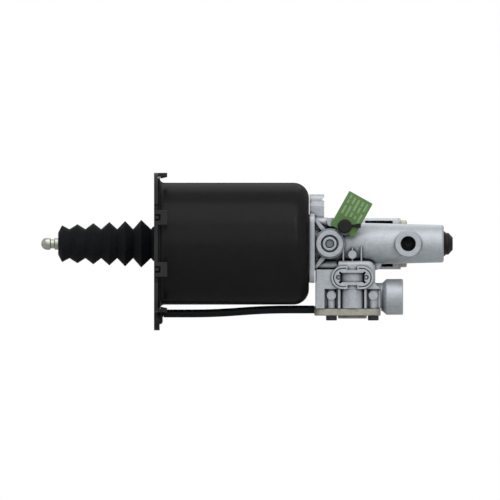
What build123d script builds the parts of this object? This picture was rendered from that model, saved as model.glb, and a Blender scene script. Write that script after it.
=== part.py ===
from build123d import *
import math
import os

# Clutch servo. The origin is the centre of the flange's mounting face on the push-rod axis.
# +X points to the rear plug, +Z up, and -Y is the side that the ports face. All in mm.
os.makedirs("parts", exist_ok=True)

# Clearances
seat_gap = 0.05  # rings, bushes and inserts in their seats
running_gap = 0.05  # seals and bushes on the faces they run on
skirt_gap = 0.3  # piston skirt in the can
soft_gap = 0.3  # rubber next to a moving piece
stop_gap = 0.3  # piston assembly to its front stop
hole_gap = 0.4  # screws through their clearance holes
thread_gap = 0.05  # screws in their threads

# Mounting flange
flange_thickness = 3.6
flange_rise = 1.0  # the plate stands a little high on the axis
flange_corner = 12.0
flange_bolt_edge = 13.3  # plate edge to hole centre
flange_bolt_hole = 10.5
tab_offset = 23.4
tab_width = 13.2
tab_thickness = 3.6
tab_reach = 11.9
side_tab_drop = 0.8  # tabs of the two upright sides
slot_front = 0.9
slot_rear = 5.8
slot_height = 5.8
tongue_rear = 4.2
tongue_height = 3.0
nose_width = 5.4
nose_depth = 1.5
relief_width = 5.4
relief_depth = 3.2
foot_half_width = 15.0
foot_reach = 18.8  # below the can rim
foot_thickness = 5.1
foot_overlap = 11.5  # into the plate
foot_corner = 11.0
vent_boss_height = 4.3
vent_boss_above = 1.6  # over the hose's axis
vent_boss_below = 9.7
vent_boss_round = 2.6
vent_boss_half_width = 8.0

# Seal and can
seal_thickness = 0.4
seal_width = 5.3
can_bore = 105.8
can_wall = 2.0
can_length = 135.5
rim_width = 4.3
rim_thickness = 1.3
rim_flare = 4.1
rim_straight = 24.6  # half the straight side of the eight-sided rim
can_corner = 14.0
can_rear_hole = 16.0

# Spigot and bellows
spigot_radius = 11.2
spigot_bore = 9.0
spigot_nose = 6.0
spigot_collar_radius = 14.5
spigot_collar = 1.8
boot_front = -86.3
boot_front_radius = 9.9
boot_wall = 1.6
boot_valley_radius = 13.1
boot_seat_radius = 15.5
boot_peaks = [(-82.8, 16.6), (-68.9, 17.6), (-54.6, 18.6), (-40.2, 19.6), (-26.0, 20.5), (-11.5, 21.5)]
boot_valleys = [-76.0, -61.7, -47.5, -33.1, -18.8, -2.7]

# Push rod
rod_tip = -101.6
rod_head_radius = 5.6
rod_head_end = -93.6
rod_groove_radius = 4.3
rod_groove_end = -89.2
rod_radius = 5.5
ball_radius = 8.0

# Plunger and power piston
plunger_radius = 12.5
plunger_past_can = 26.2  # how much longer the plunger is than the can
plunger_collar_radius = 15.0
plunger_collar_front = 3.7
plunger_collar_width = 4.0
plunger_core_radius = 8.0
plunger_core_front = 23.7
retainer_radius = 10.0
retainer_hole = 6.6
retainer_depth = 2.7
retainer_width = 2.0
ball_depth = 5.0
plunger_groove_rear = 3.5
plunger_groove_width = 4.5
plunger_groove_radius = 10.5
hub_length = 22.0
hub_radius = 21.0
web_front = 8.0
web_thickness = 6.0
skirt_front = 4.0
skirt_width = 16.0
skirt_wall = 8.2
piston_groove_depth = 5.0
piston_seal_width = 5.0
guide_groove_depth = 2.0
guide_ring_width = 5.0
piston_nut_width = 6.0
piston_nut_flats = 32.0

# Return spring
spring_offset = 12.0  # wire centre outside the piston hub
spring_wire = 3.2
spring_turns = 7
spring_end_gap = 0.2

# Die casting
gasket_thickness = 0.5
base_thickness = 4.6
base_half_width = 33.0
base_top = 27.0
base_bottom = -35.3
base_corner = 8.0
barrel_length = 120.8
barrel_root_radius = 19.4
barrel_mid = 58.0
barrel_mid_radius = 18.5
barrel_rear_radius = 16.9
barrel_edge = 2.2
barrel_bore = 12.7
bore_start = 18.0
barrel_end_wall = 10.8
bush_length = 8.0
bush_radius = 15.0
mouth_depth = 10.0
screw_half_across = 15.0
screw_half_up = 19.8
column_radius = 3.9
lower_column_end = 24.3
upper_column_end = 17.0
union_x = 18.1
union_boss_radius = 12.1
union_root_radius = 13.6
union_root_face = 24.5
union_face = 31.0
union_ring_radius = 8.1
union_cone_radius = 7.7
union_ring_depth = 2.6
union_thread_radius = 6.6
union_rim_below = 0.9
union_web_depth = 14.0
union_floor = 17.5
union_bore = 3.9
port_from_rear = 32.0
port_boss_radius = 11.7
port_boss_root = 13.4
port_face = 27.0
port_radius = 6.85
port_depth = 12.5
drilling_radius = 2.5
ear_front = 0.0
ear_thickness = 13.1
ear_top = 44.6
ear_step = 38.0
ear_groove_z = 39.95
ear_groove_height = 2.3
ear_shoulder = 34.0
ear_root = 14.0
ear_half_width = 13.0
ear_top_half_width = 9.0
ear_hole = 8.4

# Valve block of the casting, and its oval boss
valve_x = 38.5
block_left = 5.2
block_right = 63.8
block_right_upper = 59.2
block_top = -23.3  # left of the relay valve
ledge_top = -15.5  # above the relay valve
ledge_left = 26.0
ledge_corner = 7.0
ledge_round = 3.4
block_edge = 1.2
block_bottom = -58.3
block_near = 27.0
block_far = 20.0
block_shoulder = -36.0
pocket_floor = 20.0
pocket_top = -40.7
pocket_left = 13.5
pocket_width = 12.0
pocket_pitch = 38.3
rib_thickness = 2.4
chamber_radius = 16.0
chamber_face = 26.6
chamber_top = -24.0
pad_radius = 4.2
pad_z = -46.6
pad_face = 24.5
screw_column_radius = 4.0
cover_screw_pitch = 37.6
cover_screw_near = 20.0
cover_screw_far = 14.0
oval_z = -30.5
oval_length = 37.9
oval_height = 20.7
oval_face = 30.0
oval_ring = 1.6
oval_groove = 0.9
oval_groove_depth = 1.6
oval_gap = 8.7
oval_gap_depth = 3.4
oval_hook = 1.5
oval_plate_step = 0.5
window_width = 21.9
window_height = 8.4
window_depth = 11.0
dimple_radius = 2.2
dimple_pin = 1.0
dimple_depth = 1.3
dimple_pitch = 25.1
web_rib_thickness = 1.3
web_rib_pitch = 8.1
web_rib_face = 24.0
web_rib_tops = [-4.8, -3.5, -2.7]
web_pad_radius = 3.8
web_pad_z = -9.8

# Relay valve
relay_bore = 12.5
relay_top = -25.0
relay_piston_top = -26.5
relay_piston_height = 6.0
relay_stem_radius = 4.0
relay_travel = 2.0
relay_groove_depth = 2.0
seat_bore = 13.0
seat_top = -40.0
seat_height = 3.0
seat_hole = 6.5
disc_radius = 9.0
disc_thickness = 3.0
disc_gap = 0.3
disc_stem_radius = 3.4
disc_stem_length = 15.0
valve_spring_radius = 6.9
valve_spring_wire = 1.4
valve_spring_turns = 5

# Bottom cover and its screws
cover_gasket_thickness = 0.4
cover_left = 4.3
cover_right = 64.0
cover_near = 25.0
cover_far = 19.0
cover_thickness = 6.1
cover_corner = 6.0
pot_radius = 13.0
pot_depth = 2.6
pot_bore = 10.5
pot_floor = 2.4
pot_guide_radius = 5.0
pot_guide_top = -57.0
cover_screw = 6.0
cover_head = 9.9
cover_head_height = 4.3
cover_socket = 5.0
cover_screw_length = 16.0

# Air port
air_z = -47.9
neck_radius = 12.6
neck_end = 65.4
air_boss_start = 69.2
air_boss_end = 84.2
air_boss_radius = 16.1
air_way_z = -36.5
air_thread_radius = 10.2
air_thread_depth = 16.0
air_way_radius = 5.0

# Vent hose and nozzles
hose_diameter = 7.2
hose_bore = 4.0
hose_below_can = 7.9
hose_level_front = 44.0
hose_level_rear = 42.0
hose_rear_z = -59.2
nozzle_radius = 1.9
nozzle_bore = 1.2
nozzle_collar_radius = 3.0
nozzle_collar = 0.8
nozzle_engagement = 9.0
hose_boss_radius = 4.4
hose_boss_length = 8.0

# Silencer behind the barrel
silencer_y = 43.0
silencer_radius = 23.1
silencer_wall = 1.9
silencer_body_start = 14.0
silencer_body_bore = 20.0
silencer_body_wall = 6.0
silencer_plate_end = 50.0
silencer_ring_start = 74.8
silencer_ring_end = 79.9
silencer_window = 20.7
silencer_neck_half = 14.0
silencer_cap_flange = 2.1
silencer_cap_length = 5.6
silencer_cap_radius = 21.2
silencer_spigot = 3.6

# Bleed screw, cap and tag
bleed_x = 31.8
bleed_z = 15.75
bleed_boss_radius = 8.0
bleed_boss_face = 24.0
bleed_thread_radius = 4.0
bleed_thread_depth = 10.0
bleed_flats = 9.0
bleed_hex_height = 4.0
bleed_nipple_radius = 3.2
bleed_nipple_length = 6.0
bleed_cap_radius = 6.4
bleed_cap_length = 12.5
tag_thickness = 1.0
tag_width = 24.1
tag_length = 35.0
tag_angle = 60.7
tag_edge_to_hole = 5.2
tag_corner = 0.7
tag_clearance = 0.3
strap_end_width = 4.6
strap_end_height = 3.9
strap_reach = 14.4

# End plug
plug_thread_radius = 7.5
plug_thread_length = 9.8
plug_cone_radius = 11.5
plug_body_radius = 9.8
plug_cone_length = 2.0
plug_body_length = 4.2
plug_tip_radius = 5.5
plug_length = 8.1

# Places along the axis that follow from the sizes
can_inner = can_bore / 2
can_outer = can_inner + can_wall
rim_radius = can_outer + rim_width
flange_half = rim_radius + tab_thickness
rim_half = rim_radius - 0.1
flange_bolt_spacing = 2 * (flange_half - flange_bolt_edge)
foot_bottom = -(rim_radius + foot_reach)
foot_top = flange_rise - flange_half + 0.4
hose_front_z = -(can_outer + hose_below_can)
vent_boss_top = hose_front_z + vent_boss_above
vent_boss_bottom = hose_front_z - vent_boss_below
can_front = flange_thickness + seal_thickness
can_rear = can_front + can_length
housing_front = can_rear + gasket_thickness
base_rear = housing_front + base_thickness
spigot_rear = flange_thickness + spigot_collar
plunger_front = spigot_rear + stop_gap
plunger_rear = plunger_front + can_length + plunger_past_can
hub_front = plunger_front + plunger_collar_front + plunger_collar_width
hub_rear = hub_front + hub_length
web_face = hub_front + web_front
web_rear = web_face + web_thickness
skirt_start = hub_front + skirt_front
skirt_end = skirt_start + skirt_width
skirt_radius = can_inner - skirt_gap
skirt_inner_radius = skirt_radius - skirt_wall
piston_seal_radius = skirt_radius - piston_groove_depth
guide_ring_radius = skirt_radius - guide_groove_depth
spring_radius = hub_radius + spring_offset
can_floor = can_rear - can_wall
barrel_rear = housing_front + barrel_length
bore_end = barrel_length - barrel_end_wall
port_x = barrel_length - port_from_rear
valve_axis = housing_front + valve_x
cover_top = block_bottom - cover_gasket_thickness
cover_bottom = cover_top - cover_thickness
pot_bottom = cover_bottom - pot_depth
pot_floor_z = pot_bottom + pot_floor
rod_plane = Plane.YZ
side_plane = Plane.XZ


def nearest(items, x, y):
    """The sketch vertex that lies nearest to a point of the sketch."""
    return items.sort_by_distance((x, y, 0))[0]


def turned(points):
    """A solid turned about the push-rod axis from points of place along it and radius."""
    with BuildPart() as body:
        with BuildSketch(side_plane):
            with BuildLine():
                Polyline(*points, close=True)
            make_face()
        revolve(axis=Axis.X)
    return body


def upright(points, x, y):
    """A solid turned about an upright axis from points of radius and height."""
    with BuildPart() as body:
        with BuildSketch(Plane(origin=(x, y, 0), x_dir=(1, 0, 0), z_dir=(0, -1, 0))):
            with BuildLine():
                Polyline(*points, close=True)
            make_face()
        revolve(axis=Axis((x, y, 0), (0, 0, 1)))
    return body


def crosswise(points, x, z):
    """A solid turned about an axis along Y from points of radius and distance toward -Y."""
    with BuildPart() as body:
        with BuildSketch(Plane(origin=(x, 0, z), x_dir=(1, 0, 0), z_dir=(0, 0, 1))):
            with BuildLine():
                Polyline(*[(radius, -reach) for radius, reach in points], close=True)
            make_face()
        revolve(axis=Axis((x, 0, z), (0, 1, 0)))
    return body


def finish(piece, name):
    """Labels a finished piece and writes it."""
    piece.part.label = name
    export_step(piece.part, "parts/" + name + ".step")


# Mounting flange: tabs of one side, then the plate with all four sides
top_edge = flange_rise + flange_half
with BuildPart() as side_tabs:
    with BuildSketch(Plane.YZ.offset(flange_thickness)):
        with Locations((-tab_offset, top_edge - tab_thickness / 2), (tab_offset, top_edge - tab_thickness / 2)):
            Rectangle(tab_width, tab_thickness)
    extrude(amount=tab_reach - flange_thickness)
    for tab_y in (-tab_offset, tab_offset):
        nose_face = top_edge - tab_thickness
        nose_start = can_front + rim_thickness + soft_gap
        with BuildSketch(Plane.XZ.offset(-tab_y - nose_width / 2)):
            with BuildLine():
                Polyline(
                    (nose_start, nose_face + 0.5),
                    (nose_start, nose_face - nose_depth),
                    (nose_start + 0.8, nose_face - nose_depth),
                    (tab_reach, nose_face - 0.3),
                    (tab_reach, nose_face + 0.5),
                    close=True,
                )
            make_face()
        extrude(amount=nose_width)

with BuildPart() as side_windows:
    with BuildSketch(Plane.XY.offset(top_edge - tab_thickness - 0.4)):
        for tab_y in (-tab_offset, tab_offset):
            with Locations(((slot_front + slot_rear) / 2, tab_y)):
                Rectangle(slot_rear - slot_front, slot_height)
            with Locations(((slot_front + tongue_rear) / 2, tab_y)):
                Rectangle(tongue_rear - slot_front, tongue_height, mode=Mode.SUBTRACT)
    extrude(amount=tab_thickness + 1)
    with BuildSketch(Plane.YZ.offset(-1)):
        relief_middle = tab_offset + tab_width / 2 + relief_width / 2
        with Locations((-relief_middle, top_edge), (relief_middle, top_edge)):
            Rectangle(relief_width, 2 * relief_depth)
    extrude(amount=flange_thickness + 2)

plate_axis = Axis((0, 0, flange_rise), (1, 0, 0))
with BuildPart() as mounting_flange:
    with BuildSketch(rod_plane):
        with Locations((0, flange_rise)):
            RectangleRounded(2 * flange_half, 2 * flange_half, flange_corner)
    extrude(amount=flange_thickness)
    with BuildSketch(rod_plane):
        foot_height = foot_reach + foot_overlap
        with Locations((0, foot_bottom + foot_height / 2)):
            RectangleRounded(2 * foot_half_width, foot_height, foot_corner)
    extrude(amount=flange_thickness)
    with BuildSketch(rod_plane.offset(flange_thickness)):
        with Locations((0, (foot_bottom + foot_top) / 2)):
            RectangleRounded(2 * foot_half_width, foot_top - foot_bottom, 7)
    extrude(amount=foot_thickness - flange_thickness)
    with BuildSketch(rod_plane.offset(flange_thickness)):
        with Locations((0, (vent_boss_top + vent_boss_bottom) / 2)):
            RectangleRounded(2 * vent_boss_half_width, vent_boss_top - vent_boss_bottom, 4.5)
    extrude(amount=vent_boss_height)
    fillet(faces().sort_by(Axis.X)[-1].outer_wire().edges(), vent_boss_round)
    for quarter in range(4):
        drop = Location((0, 0, -side_tab_drop * (quarter % 2)))
        add(side_tabs.part.rotate(plate_axis, 90 * quarter).moved(drop))
        add(side_windows.part.rotate(plate_axis, 90 * quarter).moved(drop), mode=Mode.SUBTRACT)
    with BuildSketch(rod_plane):
        Circle(spigot_radius)
        with GridLocations(flange_bolt_spacing, flange_bolt_spacing, 2, 2):
            Circle(flange_bolt_hole / 2)
        with Locations((0, hose_front_z)):
            Circle(nozzle_radius + seat_gap)
    extrude(amount=flange_thickness + vent_boss_height, mode=Mode.SUBTRACT)
finish(mounting_flange, "mounting_flange")

# Flat seal between flange and can rim
with BuildPart() as flange_seal:
    with BuildSketch(rod_plane.offset(flange_thickness)):
        Circle(rim_radius - 0.2)
        Circle(rim_radius - 0.2 - seal_width, mode=Mode.SUBTRACT)
    extrude(amount=seal_thickness)
finish(flange_seal, "flange_seal")

# Deep-drawn can with a flared rim and a round rear corner
with BuildPart() as cylinder_can:
    with BuildSketch(side_plane):
        with BuildLine():
            Polyline(
                (can_front, can_inner),
                (can_front, rim_radius),
                (can_front + rim_thickness, rim_radius),
                (can_front + rim_thickness, can_outer),
                (can_rear, can_outer),
                (can_rear, can_rear_hole),
                (can_floor, can_rear_hole),
                (can_floor, can_inner),
                close=True,
            )
        make_face()
        fillet(nearest(vertices(), can_front + rim_thickness, can_outer), radius=rim_flare)
        fillet(nearest(vertices(), can_front, can_inner), radius=rim_flare - 0.4)
        fillet(nearest(vertices(), can_rear, can_outer), radius=can_corner)
        fillet(nearest(vertices(), can_floor, can_inner), radius=can_corner - can_wall)
    revolve(axis=Axis.X)
    with BuildSketch(rod_plane.offset(can_front)):
        with Locations((0, flange_rise)):
            Rectangle(2 * rim_half, 2 * rim_half)
        chamfer(vertices(), rim_half - rim_straight)
        Circle(can_outer + rim_flare - 0.3, mode=Mode.SUBTRACT)
    extrude(amount=rim_thickness)
    with BuildSketch(rod_plane.offset(can_floor)):
        with GridLocations(2 * screw_half_across, 2 * screw_half_up, 2, 2):
            Circle(cover_screw / 2 + hole_gap)
    extrude(amount=can_wall, mode=Mode.SUBTRACT)
finish(cylinder_can, "cylinder_can")

# Plastic ring in the flange that carries the end of the bellows
boot_spigot = turned(
    [
        (-spigot_nose, spigot_bore),
        (-spigot_nose, spigot_radius - 0.8),
        (-spigot_nose + 0.8, spigot_radius),
        (flange_thickness, spigot_radius),
        (flange_thickness, spigot_collar_radius),
        (spigot_rear, spigot_collar_radius),
        (spigot_rear, spigot_bore),
    ]
)
finish(boot_spigot, "boot_spigot")

# Bellows: sharp folds that grow toward the flange
boot_outer = [(boot_front, boot_front_radius)]
boot_inner = [(0, spigot_radius + soft_gap)]
for peak, valley in zip(boot_peaks, boot_valleys):
    boot_outer.append(peak)
    boot_outer.append((valley, boot_valley_radius))
boot_outer.append((-0.9, boot_seat_radius))
boot_outer.append((0, boot_seat_radius))
for (peak_x, peak_r), valley in zip(reversed(boot_peaks), reversed(boot_valleys)):
    boot_inner.append((valley, boot_valley_radius - boot_wall))
    boot_inner.append((peak_x, peak_r - 1.5 * boot_wall))
boot_inner[-1] = (boot_peaks[0][0] + 0.6, boot_peaks[0][1] - 1.5 * boot_wall)
boot_inner.append((boot_front + 2.3, boot_front_radius - 1.3))
boot_inner.append((boot_front + 5.2, boot_front_radius - 2.2))
boot_inner.append((boot_front + 5.2, rod_radius + soft_gap))
boot_inner.append((boot_front, rod_radius + soft_gap))
rubber_boot = turned(boot_outer + boot_inner)
finish(rubber_boot, "rubber_boot")

# Push rod: round tip, retaining groove and a ball end inside the plunger
ball_centre = plunger_front + retainer_depth + ball_depth
with BuildPart() as push_rod:
    with BuildSketch(side_plane):
        with BuildLine():
            RadiusArc((rod_tip, 0), (rod_tip + rod_head_radius, rod_head_radius), rod_head_radius)
            Polyline(
                (rod_tip + rod_head_radius, rod_head_radius),
                (rod_head_end, rod_head_radius),
                (rod_head_end + 0.7, rod_groove_radius),
                (rod_groove_end - 0.7, rod_groove_radius),
                (rod_groove_end, rod_radius),
                (ball_centre, rod_radius),
                (ball_centre, 0),
                (rod_tip, 0),
            )
        make_face()
    revolve(axis=Axis.X)
    with Locations((ball_centre, 0, 0)):
        Sphere(ball_radius)
finish(push_rod, "push_rod")

# Ring that keeps the ball end in the plunger
retainer_rear = plunger_front + retainer_depth
rod_retainer = turned(
    [
        (retainer_rear - retainer_width, retainer_hole + 1),
        (retainer_rear - retainer_width, retainer_radius - seat_gap),
        (retainer_rear, retainer_radius - seat_gap),
        (retainer_rear, retainer_hole),
        (retainer_rear - 1, retainer_hole),
    ]
)
finish(rod_retainer, "rod_retainer")

# Hydraulic plunger: ball socket at the front, shoulder for the piston, hollow rear end
with BuildPart() as hydraulic_plunger:
    with BuildSketch(side_plane):
        with BuildLine():
            Polyline(
                (plunger_front, 0),
                (plunger_front, plunger_radius),
                (plunger_front + plunger_collar_front, plunger_radius),
                (plunger_front + plunger_collar_front, plunger_collar_radius),
                (hub_front, plunger_collar_radius),
                (hub_front, plunger_radius),
                (plunger_rear - 1, plunger_radius),
                (plunger_rear, plunger_radius - 1),
                (plunger_rear, plunger_core_radius),
                (plunger_front + plunger_core_front, plunger_core_radius),
                (plunger_front + plunger_core_front, 0),
                close=True,
            )
        make_face()
    revolve(axis=Axis.X)
    with Locations((ball_centre, 0, 0)):
        Sphere(ball_radius + seat_gap, mode=Mode.SUBTRACT)
    with BuildSketch(rod_plane.offset(plunger_front)):
        Circle(ball_radius + seat_gap)
    extrude(amount=retainer_depth + ball_depth, mode=Mode.SUBTRACT)
    with BuildSketch(rod_plane.offset(plunger_front)):
        Circle(retainer_radius)
    extrude(amount=retainer_depth, mode=Mode.SUBTRACT)
    with BuildSketch(rod_plane.offset(plunger_rear - plunger_groove_rear - plunger_groove_width)):
        Circle(plunger_radius + 1)
        Circle(plunger_groove_radius, mode=Mode.SUBTRACT)
    extrude(amount=plunger_groove_width, mode=Mode.SUBTRACT)
finish(hydraulic_plunger, "hydraulic_plunger")

# Seal ring near the plunger's rear end
groove_rear = plunger_rear - plunger_groove_rear
plunger_seal = turned(
    [
        (groove_rear - plunger_groove_width + 0.1, plunger_groove_radius + seat_gap),
        (groove_rear - plunger_groove_width + 0.1, barrel_bore - running_gap - 0.6),
        (groove_rear - plunger_groove_width + 0.9, barrel_bore - running_gap),
        (groove_rear - 0.9, barrel_bore - running_gap),
        (groove_rear - 0.1, barrel_bore - running_gap - 0.6),
        (groove_rear - 0.1, plunger_groove_radius + seat_gap),
    ]
)
finish(plunger_seal, "plunger_seal")

# Power piston: hub, conical web and skirt with two grooves
guide_front = skirt_start + 2
seal_front = guide_front + guide_ring_width + 2
hub_bore = plunger_radius + seat_gap
with BuildPart() as power_piston:
    with BuildSketch(side_plane):
        with BuildLine():
            Polyline(
                (hub_front, hub_bore),
                (hub_front, hub_radius - 2),
                (web_face, hub_radius + 4),
                (web_face, skirt_inner_radius - 4),
                (skirt_start, skirt_inner_radius),
                (skirt_start, skirt_radius - 1),
                (skirt_start + 1, skirt_radius),
                (skirt_end - 1, skirt_radius),
                (skirt_end, skirt_radius - 1),
                (skirt_end, skirt_inner_radius),
                (web_rear, skirt_inner_radius - 4),
                (web_rear, spring_radius - spring_wire / 2 - soft_gap),
                (web_rear + 3, spring_radius - spring_wire / 2 - soft_gap),
                (web_rear + 3, spring_radius - spring_wire / 2 - 2),
                (web_rear, hub_radius + 4),
                (hub_rear, hub_radius),
                (hub_rear, hub_bore),
                close=True,
            )
        make_face()
    revolve(axis=Axis.X)
    with BuildSketch(rod_plane.offset(guide_front)):
        Circle(skirt_radius + 1)
        Circle(guide_ring_radius, mode=Mode.SUBTRACT)
    extrude(amount=guide_ring_width, mode=Mode.SUBTRACT)
    with BuildSketch(rod_plane.offset(seal_front)):
        Circle(skirt_radius + 1)
        Circle(piston_seal_radius, mode=Mode.SUBTRACT)
    extrude(amount=piston_seal_width, mode=Mode.SUBTRACT)
finish(power_piston, "power_piston")

running_radius = can_inner - 2 * running_gap
piston_guide_ring = turned(
    [
        (guide_front + 0.1, guide_ring_radius + seat_gap),
        (guide_front + 0.1, running_radius),
        (guide_front + guide_ring_width - 0.1, running_radius),
        (guide_front + guide_ring_width - 0.1, guide_ring_radius + seat_gap),
    ]
)
finish(piston_guide_ring, "piston_guide_ring")

piston_seal = turned(
    [
        (seal_front + 0.3, piston_seal_radius + seat_gap),
        (seal_front + 0.3, running_radius - 0.8),
        (seal_front + 1.2, running_radius),
        (seal_front + piston_seal_width - 0.3, running_radius),
        (seal_front + piston_seal_width - 0.3, running_radius - 1.6),
        (seal_front + 2.4, running_radius - 2.6),
        (seal_front + piston_seal_width - 0.3, piston_seal_radius + 1.6),
        (seal_front + piston_seal_width - 0.3, piston_seal_radius + seat_gap),
    ]
)
finish(piston_seal, "piston_seal")

# Nut that holds the piston hub against the plunger's shoulder
with BuildPart() as piston_nut:
    with BuildSketch(rod_plane.offset(hub_rear)):
        RegularPolygon(piston_nut_flats / 2, 6, major_radius=False)
        Circle(plunger_radius + thread_gap, mode=Mode.SUBTRACT)
    extrude(amount=piston_nut_width)
    chamfer(faces().sort_by(Axis.X)[-1].outer_wire().edges(), 0.8)
finish(piston_nut, "piston_nut")

# Return spring between piston web and can floor
spring_start = web_rear + spring_wire / 2 + spring_end_gap
spring_length = can_floor - spring_wire / 2 - spring_end_gap - spring_start
with BuildPart() as return_spring:
    with BuildLine() as spring_path:
        Helix(
            pitch=spring_length / spring_turns,
            height=spring_length,
            radius=spring_radius,
            center=(spring_start, 0, 0),
            direction=(1, 0, 0),
        )
    with BuildSketch(Plane(origin=spring_path.line @ 0, z_dir=spring_path.line % 0)):
        Circle(spring_wire / 2)
    sweep(is_frenet=True)
finish(return_spring, "return_spring")

# Gasket and screws between can floor and casting
base_middle = (base_top + base_bottom) / 2
with BuildPart() as housing_gasket:
    with BuildSketch(rod_plane.offset(can_rear)):
        with Locations((0, base_middle)):
            RectangleRounded(2 * base_half_width - 1, base_top - base_bottom - 1, base_corner)
        Circle(can_rear_hole, mode=Mode.SUBTRACT)
        with GridLocations(2 * screw_half_across, 2 * screw_half_up, 2, 2):
            Circle(cover_screw / 2 + hole_gap, mode=Mode.SUBTRACT)
    extrude(amount=gasket_thickness)
finish(housing_gasket, "housing_gasket")

housing_screw_length = 14.0
with BuildPart() as housing_screws:
    with BuildSketch(rod_plane.offset(can_floor - cover_screw)):
        with GridLocations(2 * screw_half_across, 2 * screw_half_up, 2, 2):
            Circle(cover_head / 2)
    extrude(amount=cover_screw)
    with BuildSketch(rod_plane.offset(can_floor)):
        with GridLocations(2 * screw_half_across, 2 * screw_half_up, 2, 2):
            Circle(cover_screw / 2 - thread_gap)
    extrude(amount=housing_screw_length)
    with BuildSketch(rod_plane.offset(can_floor - cover_screw)):
        with GridLocations(2 * screw_half_across, 2 * screw_half_up, 2, 2):
            RegularPolygon(cover_socket / 2, 6, major_radius=False)
    extrude(amount=3, mode=Mode.SUBTRACT)
finish(housing_screws, "housing_screws")

# Die casting
union_at = housing_front + union_x
port_at = housing_front + port_x
bleed_at = housing_front + bleed_x
left_pocket = housing_front + pocket_left
block_near_plane = Plane.XZ.offset(-block_far)
screw_xs = (valve_axis - cover_screw_pitch / 2, valve_axis + cover_screw_pitch / 2)
screw_places = [(x, -cover_screw_near) for x in screw_xs] + [(x, cover_screw_far) for x in screw_xs]
union_recess = crosswise(
    [
        (0, union_face - union_ring_depth),
        (union_cone_radius, union_face - union_ring_depth),
        (union_ring_radius, union_face),
        (union_ring_radius, union_face + 1),
        (0, union_face + 1),
    ],
    union_at,
    0,
)
with BuildPart() as valve_block:
    with BuildSketch(block_near_plane):
        with BuildLine():
            Polyline(
                (housing_front + block_left, block_top),
                (housing_front + block_left, block_bottom),
                (housing_front + block_right, block_bottom),
                (housing_front + block_right, pocket_top),
                (housing_front + block_right_upper, block_shoulder),
                (housing_front + block_right_upper, ledge_top),
                (housing_front + ledge_left, ledge_top),
                (housing_front + ledge_left, block_top),
                close=True,
            )
        make_face()
        fillet(nearest(vertices(), housing_front + block_right_upper, ledge_top), radius=ledge_corner)
    extrude(amount=block_far + block_near)
    near_edges = faces().sort_by(Axis.Y)[0].edges()
    ledge_edges = [
        edge
        for edge in near_edges
        if edge.center().Z > block_shoulder and edge.center().X > housing_front + ledge_left + 1
    ]
    fillet(ledge_edges, radius=ledge_round)
    left_edges = [edge for edge in faces().sort_by(Axis.Y)[0].edges() if edge.center().X < housing_front + block_left + 0.1]
    fillet(left_edges, radius=block_edge)

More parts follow.
